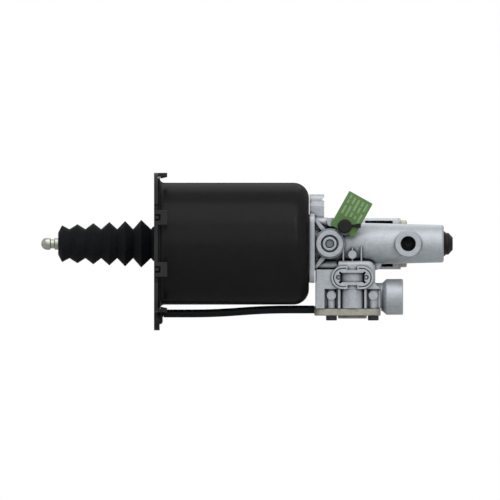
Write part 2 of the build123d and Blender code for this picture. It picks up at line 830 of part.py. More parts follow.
with BuildPart() as valve_housing:
    # barrel
    with BuildSketch(side_plane):
        with BuildLine():
            Polyline(
                (housing_front, 0),
                (housing_front, barrel_root_radius),
                (housing_front + barrel_mid, barrel_mid_radius),
                (barrel_rear, barrel_rear_radius),
                (barrel_rear, 0),
                close=True,
            )
        make_face()
        fillet(nearest(vertices(), barrel_rear, barrel_rear_radius), radius=barrel_edge)
    revolve(axis=Axis.X)
    # base flange
    with BuildSketch(rod_plane.offset(housing_front)):
        with Locations((0, base_middle)):
            RectangleRounded(2 * base_half_width, base_top - base_bottom, base_corner)
    extrude(amount=base_thickness)
    # ear with its shoulders
    with BuildSketch(rod_plane.offset(housing_front + ear_front)):
        with BuildLine():
            Polyline(
                (-ear_half_width, ear_root),
                (-ear_half_width, ear_shoulder),
                (-ear_top_half_width, ear_step),
                (-ear_top_half_width, ear_top),
                (ear_top_half_width, ear_top),
                (ear_top_half_width, ear_step),
                (ear_half_width, ear_shoulder),
                (ear_half_width, ear_root),
                close=True,
            )
        make_face()
        fillet(vertices().group_by(Axis.Y)[-1], radius=5)
        with Locations((0, ear_shoulder - 1)):
            Circle(ear_hole / 2, mode=Mode.SUBTRACT)
    extrude(amount=ear_thickness)
    with BuildSketch(rod_plane.offset(housing_front + ear_front + ear_thickness - 1.5)):
        with Locations((0, ear_groove_z)):
            Rectangle(3 * ear_half_width, ear_groove_height)
    extrude(amount=2, mode=Mode.SUBTRACT)
    # columns for the screws from the can
    for column_z, column_end in ((screw_half_up, upper_column_end), (-screw_half_up, lower_column_end)):
        with BuildSketch(rod_plane.offset(housing_front)):
            with Locations((-screw_half_across, column_z), (screw_half_across, column_z)):
                Circle(column_radius)
        extrude(amount=column_end)
    # ribs from the base flange to the union boss
    with BuildSketch(side_plane.offset(8)):
        for sense in (1, -1):
            with BuildLine():
                Polyline(
                    (base_rear - 1, 25.5 * sense),
                    (base_rear - 1, 21.5 * sense),
                    (union_at - 5.5, 9 * sense),
                    (union_at - 1.5, 11 * sense),
                    close=True,
                )
            make_face()
    extrude(amount=14)
    with BuildSketch(side_plane):
        with BuildLine():
            Polyline(
                (base_rear - 1, -screw_half_up - 2),
                (base_rear + 3, -screw_half_up - 2),
                (union_at - 2, -12),
                (union_at - 2, 12),
                (base_rear + 3, screw_half_up + 2),
                (base_rear - 1, screw_half_up + 2),
                close=True,
            )
        make_face()
    extrude(amount=union_web_depth)
    # union boss and port boss
    with BuildSketch(side_plane):
        with Locations((union_at, 0)):
            Circle(union_boss_radius)
    extrude(amount=union_face)
    with BuildSketch(side_plane):
        with Locations((union_at, 0)):
            Circle(union_root_radius)
    extrude(amount=union_root_face)
    with BuildSketch(side_plane):
        with Locations((port_at, 0)):
            Circle(port_boss_root)
    extrude(amount=barrel_mid_radius + 1, taper=5)
    with BuildSketch(side_plane):
        with Locations((port_at, 0)):
            Circle(port_boss_radius)
    extrude(amount=port_face)
    # bleed boss and the small pad above the union boss
    with BuildSketch(side_plane.offset(2)):
        with Locations((bleed_at, bleed_z)):
            Circle(bleed_boss_radius)
    extrude(amount=bleed_boss_face - 2)
    with BuildSketch(side_plane.offset(8)):
        with Locations((union_at + 1.4, 19.5)):
            Circle(4)
    extrude(amount=bleed_boss_face - 8.5)
    # valve block
    add(valve_block.part)
    with BuildSketch(side_plane.offset(-6)):
        with BuildLine():
            Polyline(
                (housing_front + block_right_upper - 1, -15),
                (housing_front + block_right_upper + 5.5, -15),
                (housing_front + block_right_upper + 5.5, -18.2),
            )
            RadiusArc(
                (housing_front + block_right_upper + 5.5, -18.2),
                (housing_front + block_right_upper, -23.7),
                5.5,
            )
            Polyline(
                (housing_front + block_right_upper, -23.7),
                (housing_front + block_right_upper - 1, -23.7),
                (housing_front + block_right_upper - 1, -15),
            )
        make_face()
    extrude(amount=12)
    # pockets in the near face
    with BuildSketch(side_plane.offset(pocket_floor)):
        pocket_middle = (pocket_top + block_bottom) / 2
        pocket_height = pocket_top - block_bottom
        with Locations((left_pocket + pocket_width / 2, pocket_middle)):
            Rectangle(pocket_width, pocket_height)
        with Locations((left_pocket + pocket_width / 2 + pocket_pitch, pocket_middle)):
            Rectangle(pocket_width + 1, pocket_height)
        chamber_width = pocket_pitch - pocket_width - 2 * rib_thickness
        with Locations((valve_axis, pocket_middle)):
            Rectangle(chamber_width, pocket_height)
    extrude(amount=block_near - pocket_floor + 1, mode=Mode.SUBTRACT)
    # oval boss with its ring, gaps, dimples and window
    with BuildSketch(side_plane.offset(pocket_floor)):
        with Locations((valve_axis, oval_z)):
            SlotOverall(oval_length, oval_height)
    extrude(amount=oval_face - pocket_floor)
    with BuildSketch(side_plane.offset(oval_face - oval_groove_depth)):
        plate_length = oval_length - 2 * oval_ring
        plate_height = oval_height - 2 * oval_ring
        with Locations((valve_axis, oval_z)):
            SlotOverall(plate_length, plate_height)
            SlotOverall(plate_length - 2 * oval_groove, plate_height - 2 * oval_groove, mode=Mode.SUBTRACT)
            Rectangle(oval_gap + 2 * oval_hook, oval_height, mode=Mode.SUBTRACT)
    extrude(amount=oval_groove_depth + 1, mode=Mode.SUBTRACT)
    with BuildSketch(side_plane.offset(oval_face - oval_plate_step)):
        with Locations((valve_axis, oval_z)):
            SlotOverall(plate_length - 2 * oval_groove, plate_height - 2 * oval_groove)
    extrude(amount=oval_plate_step + 1, mode=Mode.SUBTRACT)
    with BuildSketch(side_plane.offset(block_near)):
        for gap_z in (oval_z + oval_height / 2, oval_z - oval_height / 2):
            with Locations((valve_axis, gap_z)):
                Rectangle(oval_gap, 2 * oval_gap_depth)
    extrude(amount=oval_face - block_near + 1, mode=Mode.SUBTRACT)
    with BuildSketch(side_plane.offset(oval_face - window_depth)):
        with Locations((valve_axis, oval_z)):
            Rectangle(window_width, window_height)
            with GridLocations(window_width, window_height, 2, 2):
                Circle(1.1)
    extrude(amount=window_depth, mode=Mode.SUBTRACT)
    with BuildSketch(side_plane.offset(oval_face - oval_plate_step - dimple_depth)):
        with Locations((valve_axis, oval_z + 0.2)):
            with GridLocations(dimple_pitch, 0, 2, 1):
                Circle(dimple_radius)
                Circle(dimple_pin, mode=Mode.SUBTRACT)
    extrude(amount=dimple_depth + 1, mode=Mode.SUBTRACT)
    # round chamber wall behind the window and between the pockets
    with BuildSketch(Plane.XY.offset(block_bottom)):
        with Locations((valve_axis, chamber_radius - chamber_face)):
            Circle(chamber_radius)
        with Locations((valve_axis, -pocket_floor)):
            Rectangle(chamber_width, 2 * (chamber_face - pocket_floor), mode=Mode.INTERSECT)
    extrude(amount=chamber_top - block_bottom)
    # screw columns and pads in the pockets
    for screw_x in screw_xs:
        with BuildSketch(Plane.XY.offset(block_bottom)):
            with Locations((screw_x, -cover_screw_near)):
                Circle(screw_column_radius)
        extrude(amount=pocket_top - block_bottom)
        with BuildSketch(side_plane.offset(pocket_floor - 1)):
            with Locations((screw_x, pad_z)):
                Circle(pad_radius)
        extrude(amount=pad_face - pocket_floor + 1)
    # thin webs between barrel and oval boss
    for number, web_top in enumerate(web_rib_tops):
        web_x = valve_axis + (number - 1) * web_rib_pitch
        web_bottom = oval_z + oval_height / 2 - 1
        with BuildSketch(side_plane.offset(6)):
            with Locations((web_x, (web_top + web_bottom) / 2)):
                Rectangle(web_rib_thickness, web_top - web_bottom)
        extrude(amount=web_rib_face - 6)
    with BuildSketch(side_plane.offset(6)):
        with Locations((valve_axis, web_pad_z)):
            Circle(web_pad_radius)
    extrude(amount=web_rib_face - 5.2)
    # neck and boss of the air port
    with BuildSketch(side_plane):
        with BuildLine():
            Polyline(
                (housing_front + block_right_upper - 6, air_z),
                (housing_front + block_right_upper - 6, air_z + neck_radius),
                (housing_front + neck_end, air_z + neck_radius),
                (housing_front + air_boss_start, air_z + air_boss_radius),
                (housing_front + air_boss_end, air_z + air_boss_radius),
                (housing_front + air_boss_end, air_z),
                close=True,
            )
        make_face()
        fillet(nearest(vertices(), housing_front + air_boss_end, air_z + air_boss_radius), radius=1.2)
    revolve(axis=Axis((0, 0, air_z), (1, 0, 0)))
    with BuildSketch(Plane.XY.offset(pot_bottom)):
        with Locations((valve_axis, 0)):
            Rectangle(2 * (cover_right - valve_x) + 0.8, 2 * (cover_near + cover_far))
    extrude(amount=block_bottom - pot_bottom, mode=Mode.SUBTRACT)
    # boss for the vent hose
    with BuildSketch(rod_plane.offset(housing_front + block_left)):
        with Locations((0, hose_rear_z)):
            Circle(hose_boss_radius)
    extrude(amount=hose_boss_length)
    # cage of the silencer and its neck
    with BuildSketch(rod_plane.offset(housing_front + silencer_body_start)):
        with Locations((silencer_y, 0)):
            Circle(silencer_radius)
        with Locations((silencer_y / 2, 0)):
            Rectangle(silencer_y, 2 * silencer_neck_half)
    extrude(amount=silencer_plate_end - silencer_body_start)
    with BuildSketch(rod_plane.offset(housing_front + silencer_body_start + silencer_body_wall)):
        with Locations((silencer_y, 0)):
            Circle(silencer_body_bore)
    extrude(amount=silencer_plate_end - silencer_body_start - silencer_body_wall, mode=Mode.SUBTRACT)
    with BuildSketch(rod_plane.offset(housing_front + silencer_plate_end)):
        with Locations((silencer_y, 0)):
            Circle(silencer_radius)
            Circle(silencer_radius - silencer_wall, mode=Mode.SUBTRACT)
            Rectangle(3 * silencer_radius, 2 * silencer_window, mode=Mode.SUBTRACT)
    extrude(amount=silencer_ring_start - silencer_plate_end)
    with BuildSketch(rod_plane.offset(housing_front + silencer_ring_start)):
        with Locations((silencer_y, 0)):
            Circle(silencer_radius)
            Circle(silencer_radius - silencer_wall, mode=Mode.SUBTRACT)
    extrude(amount=silencer_ring_end - silencer_ring_start)
    # bores along the axis
    with BuildSketch(rod_plane.offset(housing_front)):
        Circle(can_rear_hole)
    extrude(amount=mouth_depth, mode=Mode.SUBTRACT)
    with BuildSketch(rod_plane.offset(housing_front + mouth_depth)):
        Circle(bush_radius)
    extrude(amount=bush_length, mode=Mode.SUBTRACT)
    with BuildSketch(rod_plane.offset(housing_front + bore_start)):
        Circle(barrel_bore)
    extrude(amount=bore_end - bore_start, mode=Mode.SUBTRACT)
    with BuildSketch(rod_plane.offset(housing_front + bore_end - 1)):
        Circle(plug_thread_radius)
    extrude(amount=barrel_length - bore_end + 2, mode=Mode.SUBTRACT)
    with BuildSketch(rod_plane.offset(housing_front)):
        with GridLocations(2 * screw_half_across, 2 * screw_half_up, 2, 2):
            Circle(cover_screw / 2)
    extrude(amount=housing_screw_length, mode=Mode.SUBTRACT)
    # ports
    add(union_recess.part, mode=Mode.SUBTRACT)
    with BuildSketch(side_plane.offset(union_floor)):
        with Locations((union_at, 0)):
            Circle(union_thread_radius)
    extrude(amount=union_face - union_floor, mode=Mode.SUBTRACT)
    with BuildSketch(side_plane.offset(port_face - port_depth)):
        with Locations((port_at, 0)):
            Circle(port_radius)
    extrude(amount=port_depth, mode=Mode.SUBTRACT)
    with BuildSketch(side_plane):
        with Locations((union_at + 3, 0), (port_at, 0)):
            Circle(drilling_radius)
    extrude(amount=union_floor + 1, mode=Mode.SUBTRACT)
    with BuildSketch(side_plane.offset(bleed_boss_face - bleed_thread_depth)):
        with Locations((bleed_at, bleed_z)):
            Circle(bleed_thread_radius)
    extrude(amount=bleed_thread_depth, mode=Mode.SUBTRACT)
    # relay bore, seat bore and their ways
    with BuildSketch(Plane.XY.offset(block_bottom)):
        with Locations((valve_axis, 0)):
            Circle(seat_bore)
    extrude(amount=seat_top - block_bottom, mode=Mode.SUBTRACT)
    with BuildSketch(Plane.XY.offset(seat_top)):
        with Locations((valve_axis, 0)):
            Circle(relay_bore)
    extrude(amount=relay_top - seat_top, mode=Mode.SUBTRACT)
    with BuildSketch(Plane.XY.offset(relay_top)):
        with Locations((valve_axis, 0)):
            Circle(drilling_radius)
    extrude(amount=-relay_top, mode=Mode.SUBTRACT)
    with BuildSketch(rod_plane.offset(housing_front + air_boss_end - air_thread_depth)):
        with Locations((0, air_z)):
            Circle(air_thread_radius)
    extrude(amount=air_thread_depth, mode=Mode.SUBTRACT)
    with BuildSketch(rod_plane.offset(valve_axis)):
        with Locations((0, air_z)):
            Circle(air_way_radius)
    extrude(amount=air_boss_end - valve_x - 1, mode=Mode.SUBTRACT)
    # air way from the relay bore to the mouth
    with BuildSketch(rod_plane.offset(housing_front + 6)):
        with Locations((0, air_way_z)):
            Circle(drilling_radius)
    extrude(amount=valve_x - 6, mode=Mode.SUBTRACT)
    with BuildSketch(Plane.XY.offset(air_way_z)):
        with Locations((housing_front + 8, 0)):
            Circle(drilling_radius)
    extrude(amount=30, mode=Mode.SUBTRACT)
    # threads for the cover screws and seat of the hose nozzle
    with BuildSketch(Plane.XY.offset(block_bottom)):
        with Locations(*screw_places):
            Circle(cover_screw / 2)
    extrude(amount=cover_screw_length - cover_thickness, mode=Mode.SUBTRACT)
    with BuildSketch(rod_plane.offset(housing_front + block_left)):
        with Locations((0, hose_rear_z)):
            Circle(nozzle_radius + seat_gap)
    extrude(amount=6, mode=Mode.SUBTRACT)
finish(valve_housing, "valve_housing")

# Bronze bush that guides the plunger
bush_front = housing_front + mouth_depth + seat_gap
plunger_bush = turned(
    [
        (bush_front, plunger_radius + running_gap + 0.8),
        (bush_front, bush_radius - seat_gap),
        (bush_front + bush_length - 2 * seat_gap, bush_radius - seat_gap),
        (bush_front + bush_length - 2 * seat_gap, plunger_radius + running_gap),
        (bush_front + 0.8, plunger_radius + running_gap),
    ]
)
finish(plunger_bush, "plunger_bush")

# Rear screw plug of the barrel
end_plug = turned(
    [
        (barrel_rear - plug_thread_length, 0),
        (barrel_rear - plug_thread_length, plug_thread_radius - 0.8),
        (barrel_rear - plug_thread_length + 0.8, plug_thread_radius - thread_gap),
        (barrel_rear, plug_thread_radius - thread_gap),
        (barrel_rear, plug_cone_radius),
        (barrel_rear + plug_cone_length, plug_body_radius + 0.1),
        (barrel_rear + plug_body_length, plug_body_radius),
        (barrel_rear + plug_length, plug_tip_radius),
        (barrel_rear + plug_length, 0),
    ]
)
finish(end_plug, "end_plug")

# Threaded insert and valve disc of the left hydraulic port
union_outer = union_thread_radius - thread_gap
port_union = crosswise(
    [
        (2.2, union_floor),
        (union_outer, union_floor),
        (union_outer, union_face - union_rim_below - 0.5),
        (union_outer - 0.5, union_face - union_rim_below),
        (union_bore + 0.4, union_face - union_rim_below),
        (union_bore, union_face - union_rim_below - 0.4),
        (union_bore, union_floor + 2),
        (2.2, union_floor + 2),
    ],
    union_at,
    0,
)
finish(port_union, "port_union")

union_valve = crosswise(
    [
        (0, union_floor + 2.1),
        (union_bore - seat_gap, union_floor + 2.1),
        (union_bore - seat_gap, union_floor + 6),
        (1.8, union_floor + 6.6),
        (1.8, union_face - 4.2),
        (3.2, union_face - 3.6),
        (3.2, union_face - 2.6),
        (0, union_face - 2.6),
    ],
    union_at,
    0,
)
finish(union_valve, "union_valve")

# Relay piston with its seal ring, valve seat and valve disc
stem_tip = seat_top - seat_height - disc_gap + relay_travel + disc_gap
relay_bottom = relay_piston_top - relay_piston_height
relay_radius = relay_bore - 0.2
ring_radius = 1.0
ring_centre = relay_piston_top - relay_piston_height / 2
relay_piston = upright(
    [
        (0, relay_piston_top),
        (relay_radius, relay_piston_top),
        (relay_radius, ring_centre + ring_radius + 0.15),
        (relay_radius - relay_groove_depth + 0.1, ring_centre + ring_radius + 0.15),
        (relay_radius - relay_groove_depth + 0.1, ring_centre - ring_radius - 0.15),
        (relay_radius, ring_centre - ring_radius - 0.15),
        (relay_radius, relay_bottom),
        (relay_stem_radius, relay_bottom - 1),
        (relay_stem_radius, stem_tip),
        (1.8, stem_tip),
        (1.8, relay_bottom),
        (0, relay_bottom),
    ],
    valve_axis,
    0,
)
finish(relay_piston, "relay_piston")

with BuildPart() as relay_seal:
    with Locations((valve_axis, 0, ring_centre)):
        Torus(relay_bore - running_gap - ring_radius, ring_radius - seat_gap / 2)
finish(relay_seal, "relay_seal")

valve_seat = upright(
    [
        (seat_hole, seat_top),
        (seat_bore - seat_gap, seat_top),
        (seat_bore - seat_gap, seat_top - seat_height + 0.8),
        (seat_hole + 2, seat_top - seat_height + 0.8),
        (seat_hole + 1, seat_top - seat_height),
        (seat_hole, seat_top - seat_height),
    ],
    valve_axis,
    0,
)
finish(valve_seat, "valve_seat")

disc_top = seat_top - seat_height - disc_gap
disc_bottom = disc_top - disc_thickness
valve_disc = upright(
    [
        (0, disc_top),
        (disc_radius - 0.6, disc_top),
        (disc_radius, disc_top - 0.6),
        (disc_radius, disc_bottom),
        (disc_stem_radius, disc_bottom),
        (disc_stem_radius, disc_bottom - disc_stem_length),
        (0, disc_bottom - disc_stem_length),
    ],
    valve_axis,
    0,
)
finish(valve_disc, "valve_disc")

# Bottom cover with its centre pot, gasket and screws
hose_notch_half = hose_boss_radius + 0.8
hose_notch_end = housing_front + block_left + hose_boss_length + 0.8
notch_middle = (housing_front + cover_left + hose_notch_end) / 2
cover_middle = (housing_front + (cover_left + cover_right) / 2, (cover_far - cover_near) / 2)
with BuildPart() as valve_cover:
    with BuildSketch(Plane.XY.offset(cover_bottom)):
        with Locations(cover_middle):
            RectangleRounded(cover_right - cover_left, cover_near + cover_far, cover_corner)
    extrude(amount=cover_thickness)
    chamfer(faces().sort_by(Axis.Z)[0].outer_wire().edges(), 0.6)
    with BuildSketch(Plane.XY.offset(pot_bottom)):
        with Locations((valve_axis, 0)):
            Circle(pot_radius)
    extrude(amount=pot_depth)
    fillet(faces().sort_by(Axis.Z)[0].outer_wire().edges(), 1.2)
    with BuildSketch(Plane.XY.offset(pot_floor_z)):
        with Locations((valve_axis, 0)):
            Circle(pot_bore)
    extrude(amount=cover_top - pot_floor_z, mode=Mode.SUBTRACT)
    with BuildSketch(Plane.XY.offset(pot_floor_z)):
        with Locations((valve_axis, 0)):
            Circle(pot_guide_radius)
            Circle(disc_stem_radius + 2 * running_gap, mode=Mode.SUBTRACT)
    extrude(amount=pot_guide_top - pot_floor_z)
    with BuildSketch(Plane.XY.offset(cover_bottom)):
        with Locations(*screw_places):
            Circle(cover_screw / 2 + hole_gap)
        with Locations((notch_middle - 1, 0)):
            Rectangle(hose_notch_end - housing_front - cover_left + 2, 2 * hose_notch_half)
    extrude(amount=cover_thickness, mode=Mode.SUBTRACT)
finish(valve_cover, "valve_cover")

with BuildPart() as cover_gasket:
    with BuildSketch(Plane.XY.offset(cover_top)):
        with Locations(cover_middle):
            RectangleRounded(cover_right - cover_left - 1, cover_near + cover_far - 1, cover_corner)
        with Locations((valve_axis, 0)):
            Circle(seat_bore, mode=Mode.SUBTRACT)
        with Locations(*screw_places):
            Circle(cover_screw / 2 + hole_gap, mode=Mode.SUBTRACT)
        with Locations((notch_middle - 1, 0)):
            Rectangle(hose_notch_end - housing_front - cover_left + 2, 2 * hose_notch_half, mode=Mode.SUBTRACT)
    extrude(amount=cover_gasket_thickness)
finish(cover_gasket, "cover_gasket")

with BuildPart() as cover_screws:
    with BuildSketch(Plane.XY.offset(cover_bottom - cover_head_height)):
        with Locations(*screw_places):
            Circle(cover_head / 2)
    extrude(amount=cover_head_height)
    chamfer(faces().group_by(Axis.Z)[0].edges(), 0.5)
    with BuildSketch(Plane.XY.offset(cover_bottom)):
        with Locations(*screw_places):
            Circle(cover_screw / 2 - thread_gap)
    extrude(amount=cover_screw_length - 0.5)
    with BuildSketch(Plane.XY.offset(cover_bottom - cover_head_height)):
        with Locations(*screw_places):
            RegularPolygon(cover_socket / 2, 6, major_radius=False)
    extrude(amount=2.6, mode=Mode.SUBTRACT)
finish(cover_screws, "cover_screws")

# Spring under the valve disc
valve_spring_top = disc_bottom - valve_spring_wire / 2 - spring_end_gap
valve_spring_bottom = pot_floor_z + valve_spring_wire / 2 + spring_end_gap
valve_spring_length = valve_spring_top - valve_spring_bottom
with BuildPart() as valve_spring:
    with BuildLine() as valve_spring_path:
        Helix(
            pitch=valve_spring_length / valve_spring_turns,
            height=valve_spring_length,
            radius=valve_spring_radius,
            center=(valve_axis, 0, valve_spring_bottom),
        )
    with BuildSketch(Plane(origin=valve_spring_path.line @ 0, z_dir=valve_spring_path.line % 0)):
        Circle(valve_spring_wire / 2)
    sweep(is_frenet=True)
finish(valve_spring, "valve_spring")

# Vent hose: one tube along straight runs joined by wide arcs
nozzle_front = flange_thickness + vent_boss_height
nozzle_rear = housing_front + block_left
hose_start = nozzle_front + nozzle_collar + 0.1
hose_end = nozzle_rear - nozzle_collar - 0.1
hose_points = [
    (hose_start, hose_front_z),
    (hose_start + hose_level_front, hose_front_z),
    (hose_end - hose_level_rear, hose_rear_z),
    (hose_end, hose_rear_z),
]


def bend_radii(points):
    """The widest arc that each corner of a route allows."""
    radii = []
    for before, corner, after in zip(points, points[1:], points[2:]):
        first = Vector(corner[0] - before[0], corner[1] - before[1])
        second = Vector(after[0] - corner[0], after[1] - corner[1])
        turn = math.radians(first.get_angle(second))
        radii.append(0.45 * min(first.length, second.length) / math.tan(turn / 2))
    return radii


hose_radii = bend_radii(hose_points)
print("hose bend radii", [round(radius, 1) for radius in hose_radii])
with BuildPart() as vent_hose:
    with BuildLine(side_plane) as hose_path:
        FilletPolyline(*hose_points, radius=hose_radii)
    with BuildSketch(rod_plane.offset(hose_start)):
        with Locations((0, hose_front_z)):
            Circle(hose_diameter / 2)
            Circle(hose_bore / 2, mode=Mode.SUBTRACT)
    sweep()
hose_length = sum(edge.length for edge in hose_path.edges())
hose_section = math.pi * (hose_diameter**2 - hose_bore**2) / 4
print("hose volume", round(vent_hose.part.volume), "of", round(hose_section * hose_length))
finish(vent_hose, "vent_hose")

# Nozzles at both ends of the hose
with BuildPart() as hose_nozzles:
    for face_x, height, sense in ((nozzle_front, hose_front_z, 1), (nozzle_rear, hose_rear_z, -1)):
        face_plane = Plane(origin=(face_x, 0, height), x_dir=(0, 1, 0), z_dir=(sense, 0, 0))
        with BuildSketch(face_plane):
            Circle(nozzle_collar_radius)
            Circle(nozzle_bore, mode=Mode.SUBTRACT)
        extrude(amount=nozzle_collar)
        with BuildSketch(face_plane.offset(-5)):
            Circle(nozzle_radius)
            Circle(nozzle_bore, mode=Mode.SUBTRACT)
        extrude(amount=5 + nozzle_collar + nozzle_engagement)
finish(hose_nozzles, "hose_nozzles")

# Silencer cartridge and its end cover
cartridge_radius = silencer_radius - silencer_wall - 0.3
cartridge_start = housing_front + silencer_plate_end
cartridge_end = housing_front + silencer_ring_end - silencer_spigot - 0.4
with BuildPart() as silencer_cartridge:
    with BuildSketch(rod_plane.offset(cartridge_start)):
        with Locations((silencer_y, 0)):
            Circle(cartridge_radius)
    extrude(amount=cartridge_end - cartridge_start)
finish(silencer_cartridge, "silencer_cartridge")

cap_front = housing_front + silencer_ring_end
with BuildPart() as silencer_cover:
    with BuildSketch(rod_plane.offset(cap_front - silencer_spigot)):
        with Locations((silencer_y, 0)):
            Circle(silencer_radius - silencer_wall - seat_gap)
    extrude(amount=silencer_spigot)
    with BuildSketch(rod_plane.offset(cap_front)):
        with Locations((silencer_y, 0)):
            Circle(silencer_radius)
    extrude(amount=silencer_cap_flange)
    with BuildSketch(rod_plane.offset(cap_front + silencer_cap_flange)):
        with Locations((silencer_y, 0)):
            Circle(silencer_cap_radius)
    extrude(amount=silencer_cap_length)
    fillet(faces().sort_by(Axis.X)[-1].outer_wire().edges(), 1.5)
finish(silencer_cover, "silencer_cover")

# Bleed screw
hex_start = bleed_boss_face + tag_clearance + tag_thickness + tag_clearance
hex_end = hex_start + bleed_hex_height
bleed_tip = hex_end + bleed_nipple_length
with BuildPart() as bleed_screw:
    with BuildSketch(side_plane.offset(bleed_boss_face - bleed_thread_depth + 1)):
        with Locations((bleed_at, bleed_z)):
            Circle(bleed_thread_radius - thread_gap)
            Circle(1.2, mode=Mode.SUBTRACT)
    extrude(amount=hex_start - bleed_boss_face + bleed_thread_depth - 1)
    with BuildSketch(side_plane.offset(hex_start)):
        with Locations((bleed_at, bleed_z)):
            RegularPolygon(bleed_flats / 2, 6, major_radius=False)
            Circle(1.2, mode=Mode.SUBTRACT)
    extrude(amount=bleed_hex_height)
    with BuildSketch(side_plane.offset(hex_end)):
        with Locations((bleed_at, bleed_z)):
            Circle(bleed_nipple_radius)
            Circle(1.2, mode=Mode.SUBTRACT)
    extrude(amount=bleed_nipple_length)
finish(bleed_screw, "bleed_screw")

# Tag hung on the bleed screw
hole_to_middle = tag_length / 2 - tag_edge_to_hole
tag_centre = (
    bleed_at + hole_to_middle * math.cos(math.radians(tag_angle)),
    bleed_z + hole_to_middle * math.sin(math.radians(tag_angle)),
)
with BuildPart() as info_tag:
    with BuildSketch(side_plane.offset(bleed_boss_face + tag_clearance)):
        with Locations(tag_centre):
            RectangleRounded(tag_length, tag_width, tag_corner, rotation=tag_angle)
        with Locations((bleed_at, bleed_z)):
            Circle(bleed_thread_radius + 0.2, mode=Mode.SUBTRACT)
    extrude(amount=tag_thickness)
finish(info_tag, "info_tag")

# Rubber cap over the bleed screw, with its strap
cap_start = hex_start + 0.1
hex_corner = bleed_flats / math.sqrt(3)
with BuildPart() as bleed_cap:
    with BuildSketch(side_plane.offset(cap_start)):
        with Locations((bleed_at, bleed_z)):
            Circle(bleed_cap_radius)
    extrude(amount=bleed_cap_length)
    fillet(faces().sort_by(Axis.Y)[0].edges(), 1.6)
    with BuildSketch(side_plane.offset(cap_start)):
        with Locations((bleed_at + strap_reach / 2, bleed_z + 0.3)):
            Rectangle(strap_reach, 2.6)
        with Locations((bleed_at + strap_reach - strap_end_width / 2, bleed_z + 0.3)):
            RectangleRounded(strap_end_width, strap_end_height, 0.8)
    extrude(amount=1.6)
    with BuildSketch(side_plane.offset(cap_start)):
        with Locations((bleed_at + strap_reach - strap_end_width / 2, bleed_z + 0.3)):
            RectangleRounded(strap_end_width, strap_end_height, 0.8)
    extrude(amount=3.2)
    with BuildSketch(side_plane.offset(cap_start)):
        with Locations((bleed_at, bleed_z)):
            Circle(hex_corner + 0.1)
    extrude(amount=bleed_hex_height + 0.1, mode=Mode.SUBTRACT)
    with BuildSketch(side_plane.offset(cap_start)):
        with Locations((bleed_at, bleed_z)):
            Circle(bleed_nipple_radius + 0.1)
    extrude(amount=bleed_tip - cap_start + 0.2, mode=Mode.SUBTRACT)
finish(bleed_cap, "bleed_cap")
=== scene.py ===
"""Visual model of an air-assisted clutch servo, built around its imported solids."""

import logging
import math
from dataclasses import dataclass
from enum import Enum
from typing import Protocol

import bmesh
import bpy
from mathutils import Matrix, Vector


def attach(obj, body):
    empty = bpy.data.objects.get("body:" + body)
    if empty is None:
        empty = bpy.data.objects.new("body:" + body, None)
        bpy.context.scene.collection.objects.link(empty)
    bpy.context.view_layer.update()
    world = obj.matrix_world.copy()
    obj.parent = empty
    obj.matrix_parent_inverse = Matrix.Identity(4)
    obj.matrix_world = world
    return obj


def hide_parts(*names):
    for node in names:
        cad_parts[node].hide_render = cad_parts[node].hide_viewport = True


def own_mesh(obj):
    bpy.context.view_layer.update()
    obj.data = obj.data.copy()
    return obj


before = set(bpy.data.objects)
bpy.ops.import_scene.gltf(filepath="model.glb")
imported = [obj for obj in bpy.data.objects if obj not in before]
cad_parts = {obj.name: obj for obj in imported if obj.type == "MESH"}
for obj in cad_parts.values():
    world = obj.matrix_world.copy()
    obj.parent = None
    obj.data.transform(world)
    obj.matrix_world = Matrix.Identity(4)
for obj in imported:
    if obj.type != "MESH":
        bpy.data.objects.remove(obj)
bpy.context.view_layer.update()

LOG = logging.getLogger("clutch_servo")

MM = 0.001
WELD = 1e-7  # metres within which two points become one
HOUSING = "housing"  # the body that is bolted down
ALONG = Vector((1, 0, 0))
ACROSS = Vector((0, 1, 0))
UP = Vector((0, 0, 1))
MIDDLE = Vector((90.0, 0.0, 0.0))  # middle of the servo, in millimetres

PATCH_BAND = (0.3, 0.7)  # noise values over which a patch goes from shade to colour
GRAIN_BAND = (0.35, 0.65)  # the same for the grain
GRAIN_SHARE = 0.4  # how much of the change of colour comes from the grain
# the painted shade in the corners fades out over this band
OPEN_BAND = (0.4, 0.9)  # how open a place is, from the depth of a corner to a plain face
RING_STRETCH = 0.06  # how slowly the grain changes round a turned piece
DRAW_STRETCH = 0.12  # how slowly it changes along a drawn piece


# ---------------------------------------------------------------- colours and nodes


def linear(colour: str) -> tuple[float, float, float, float]:
    """Turns an sRGB hex colour into linear values.

    Args:
        colour: six hex digits.

    Returns:
        Linear red, green, blue and an alpha of 1.
    """
    channels = [int(colour[i : i + 2], 16) / 255 for i in (0, 2, 4)]
    values = [c / 12.92 if c <= 0.04045 else ((c + 0.055) / 1.055) ** 2.4 for c in channels]
    return values[0], values[1], values[2], 1.0


def add_node(
    tree: bpy.types.NodeTree,
    kind: str,
    settings: dict[str, object] | None = None,
    inputs: dict[str | int, object] | None = None,
) -> bpy.types.Node:
    """Adds a node with its settings and links.

    Args:
        tree: the node tree that gets the node.
        kind: the node's Blender type.
        settings: properties of the node itself.
        inputs: a value, or an output socket to link from, for each named or numbered input.

    Returns:
        The new node.
    """
    made = tree.nodes.new(kind)
    for name, value in (settings or {}).items():
        setattr(made, name, value)
    for name, value in (inputs or {}).items():
        if isinstance(value, bpy.types.NodeSocket):
            tree.links.new(value, made.inputs[name])
        else:
            made.inputs[name].default_value = value
    return made


class Working(Enum):
    """How a surface was made, which decides the way its grain runs."""

    MOULDED = "even grain in every direction"
    TURNED = "fine rings about the push-rod axis"
    DRAWN = "long soft marks along the push-rod axis, from the press or the extruder"


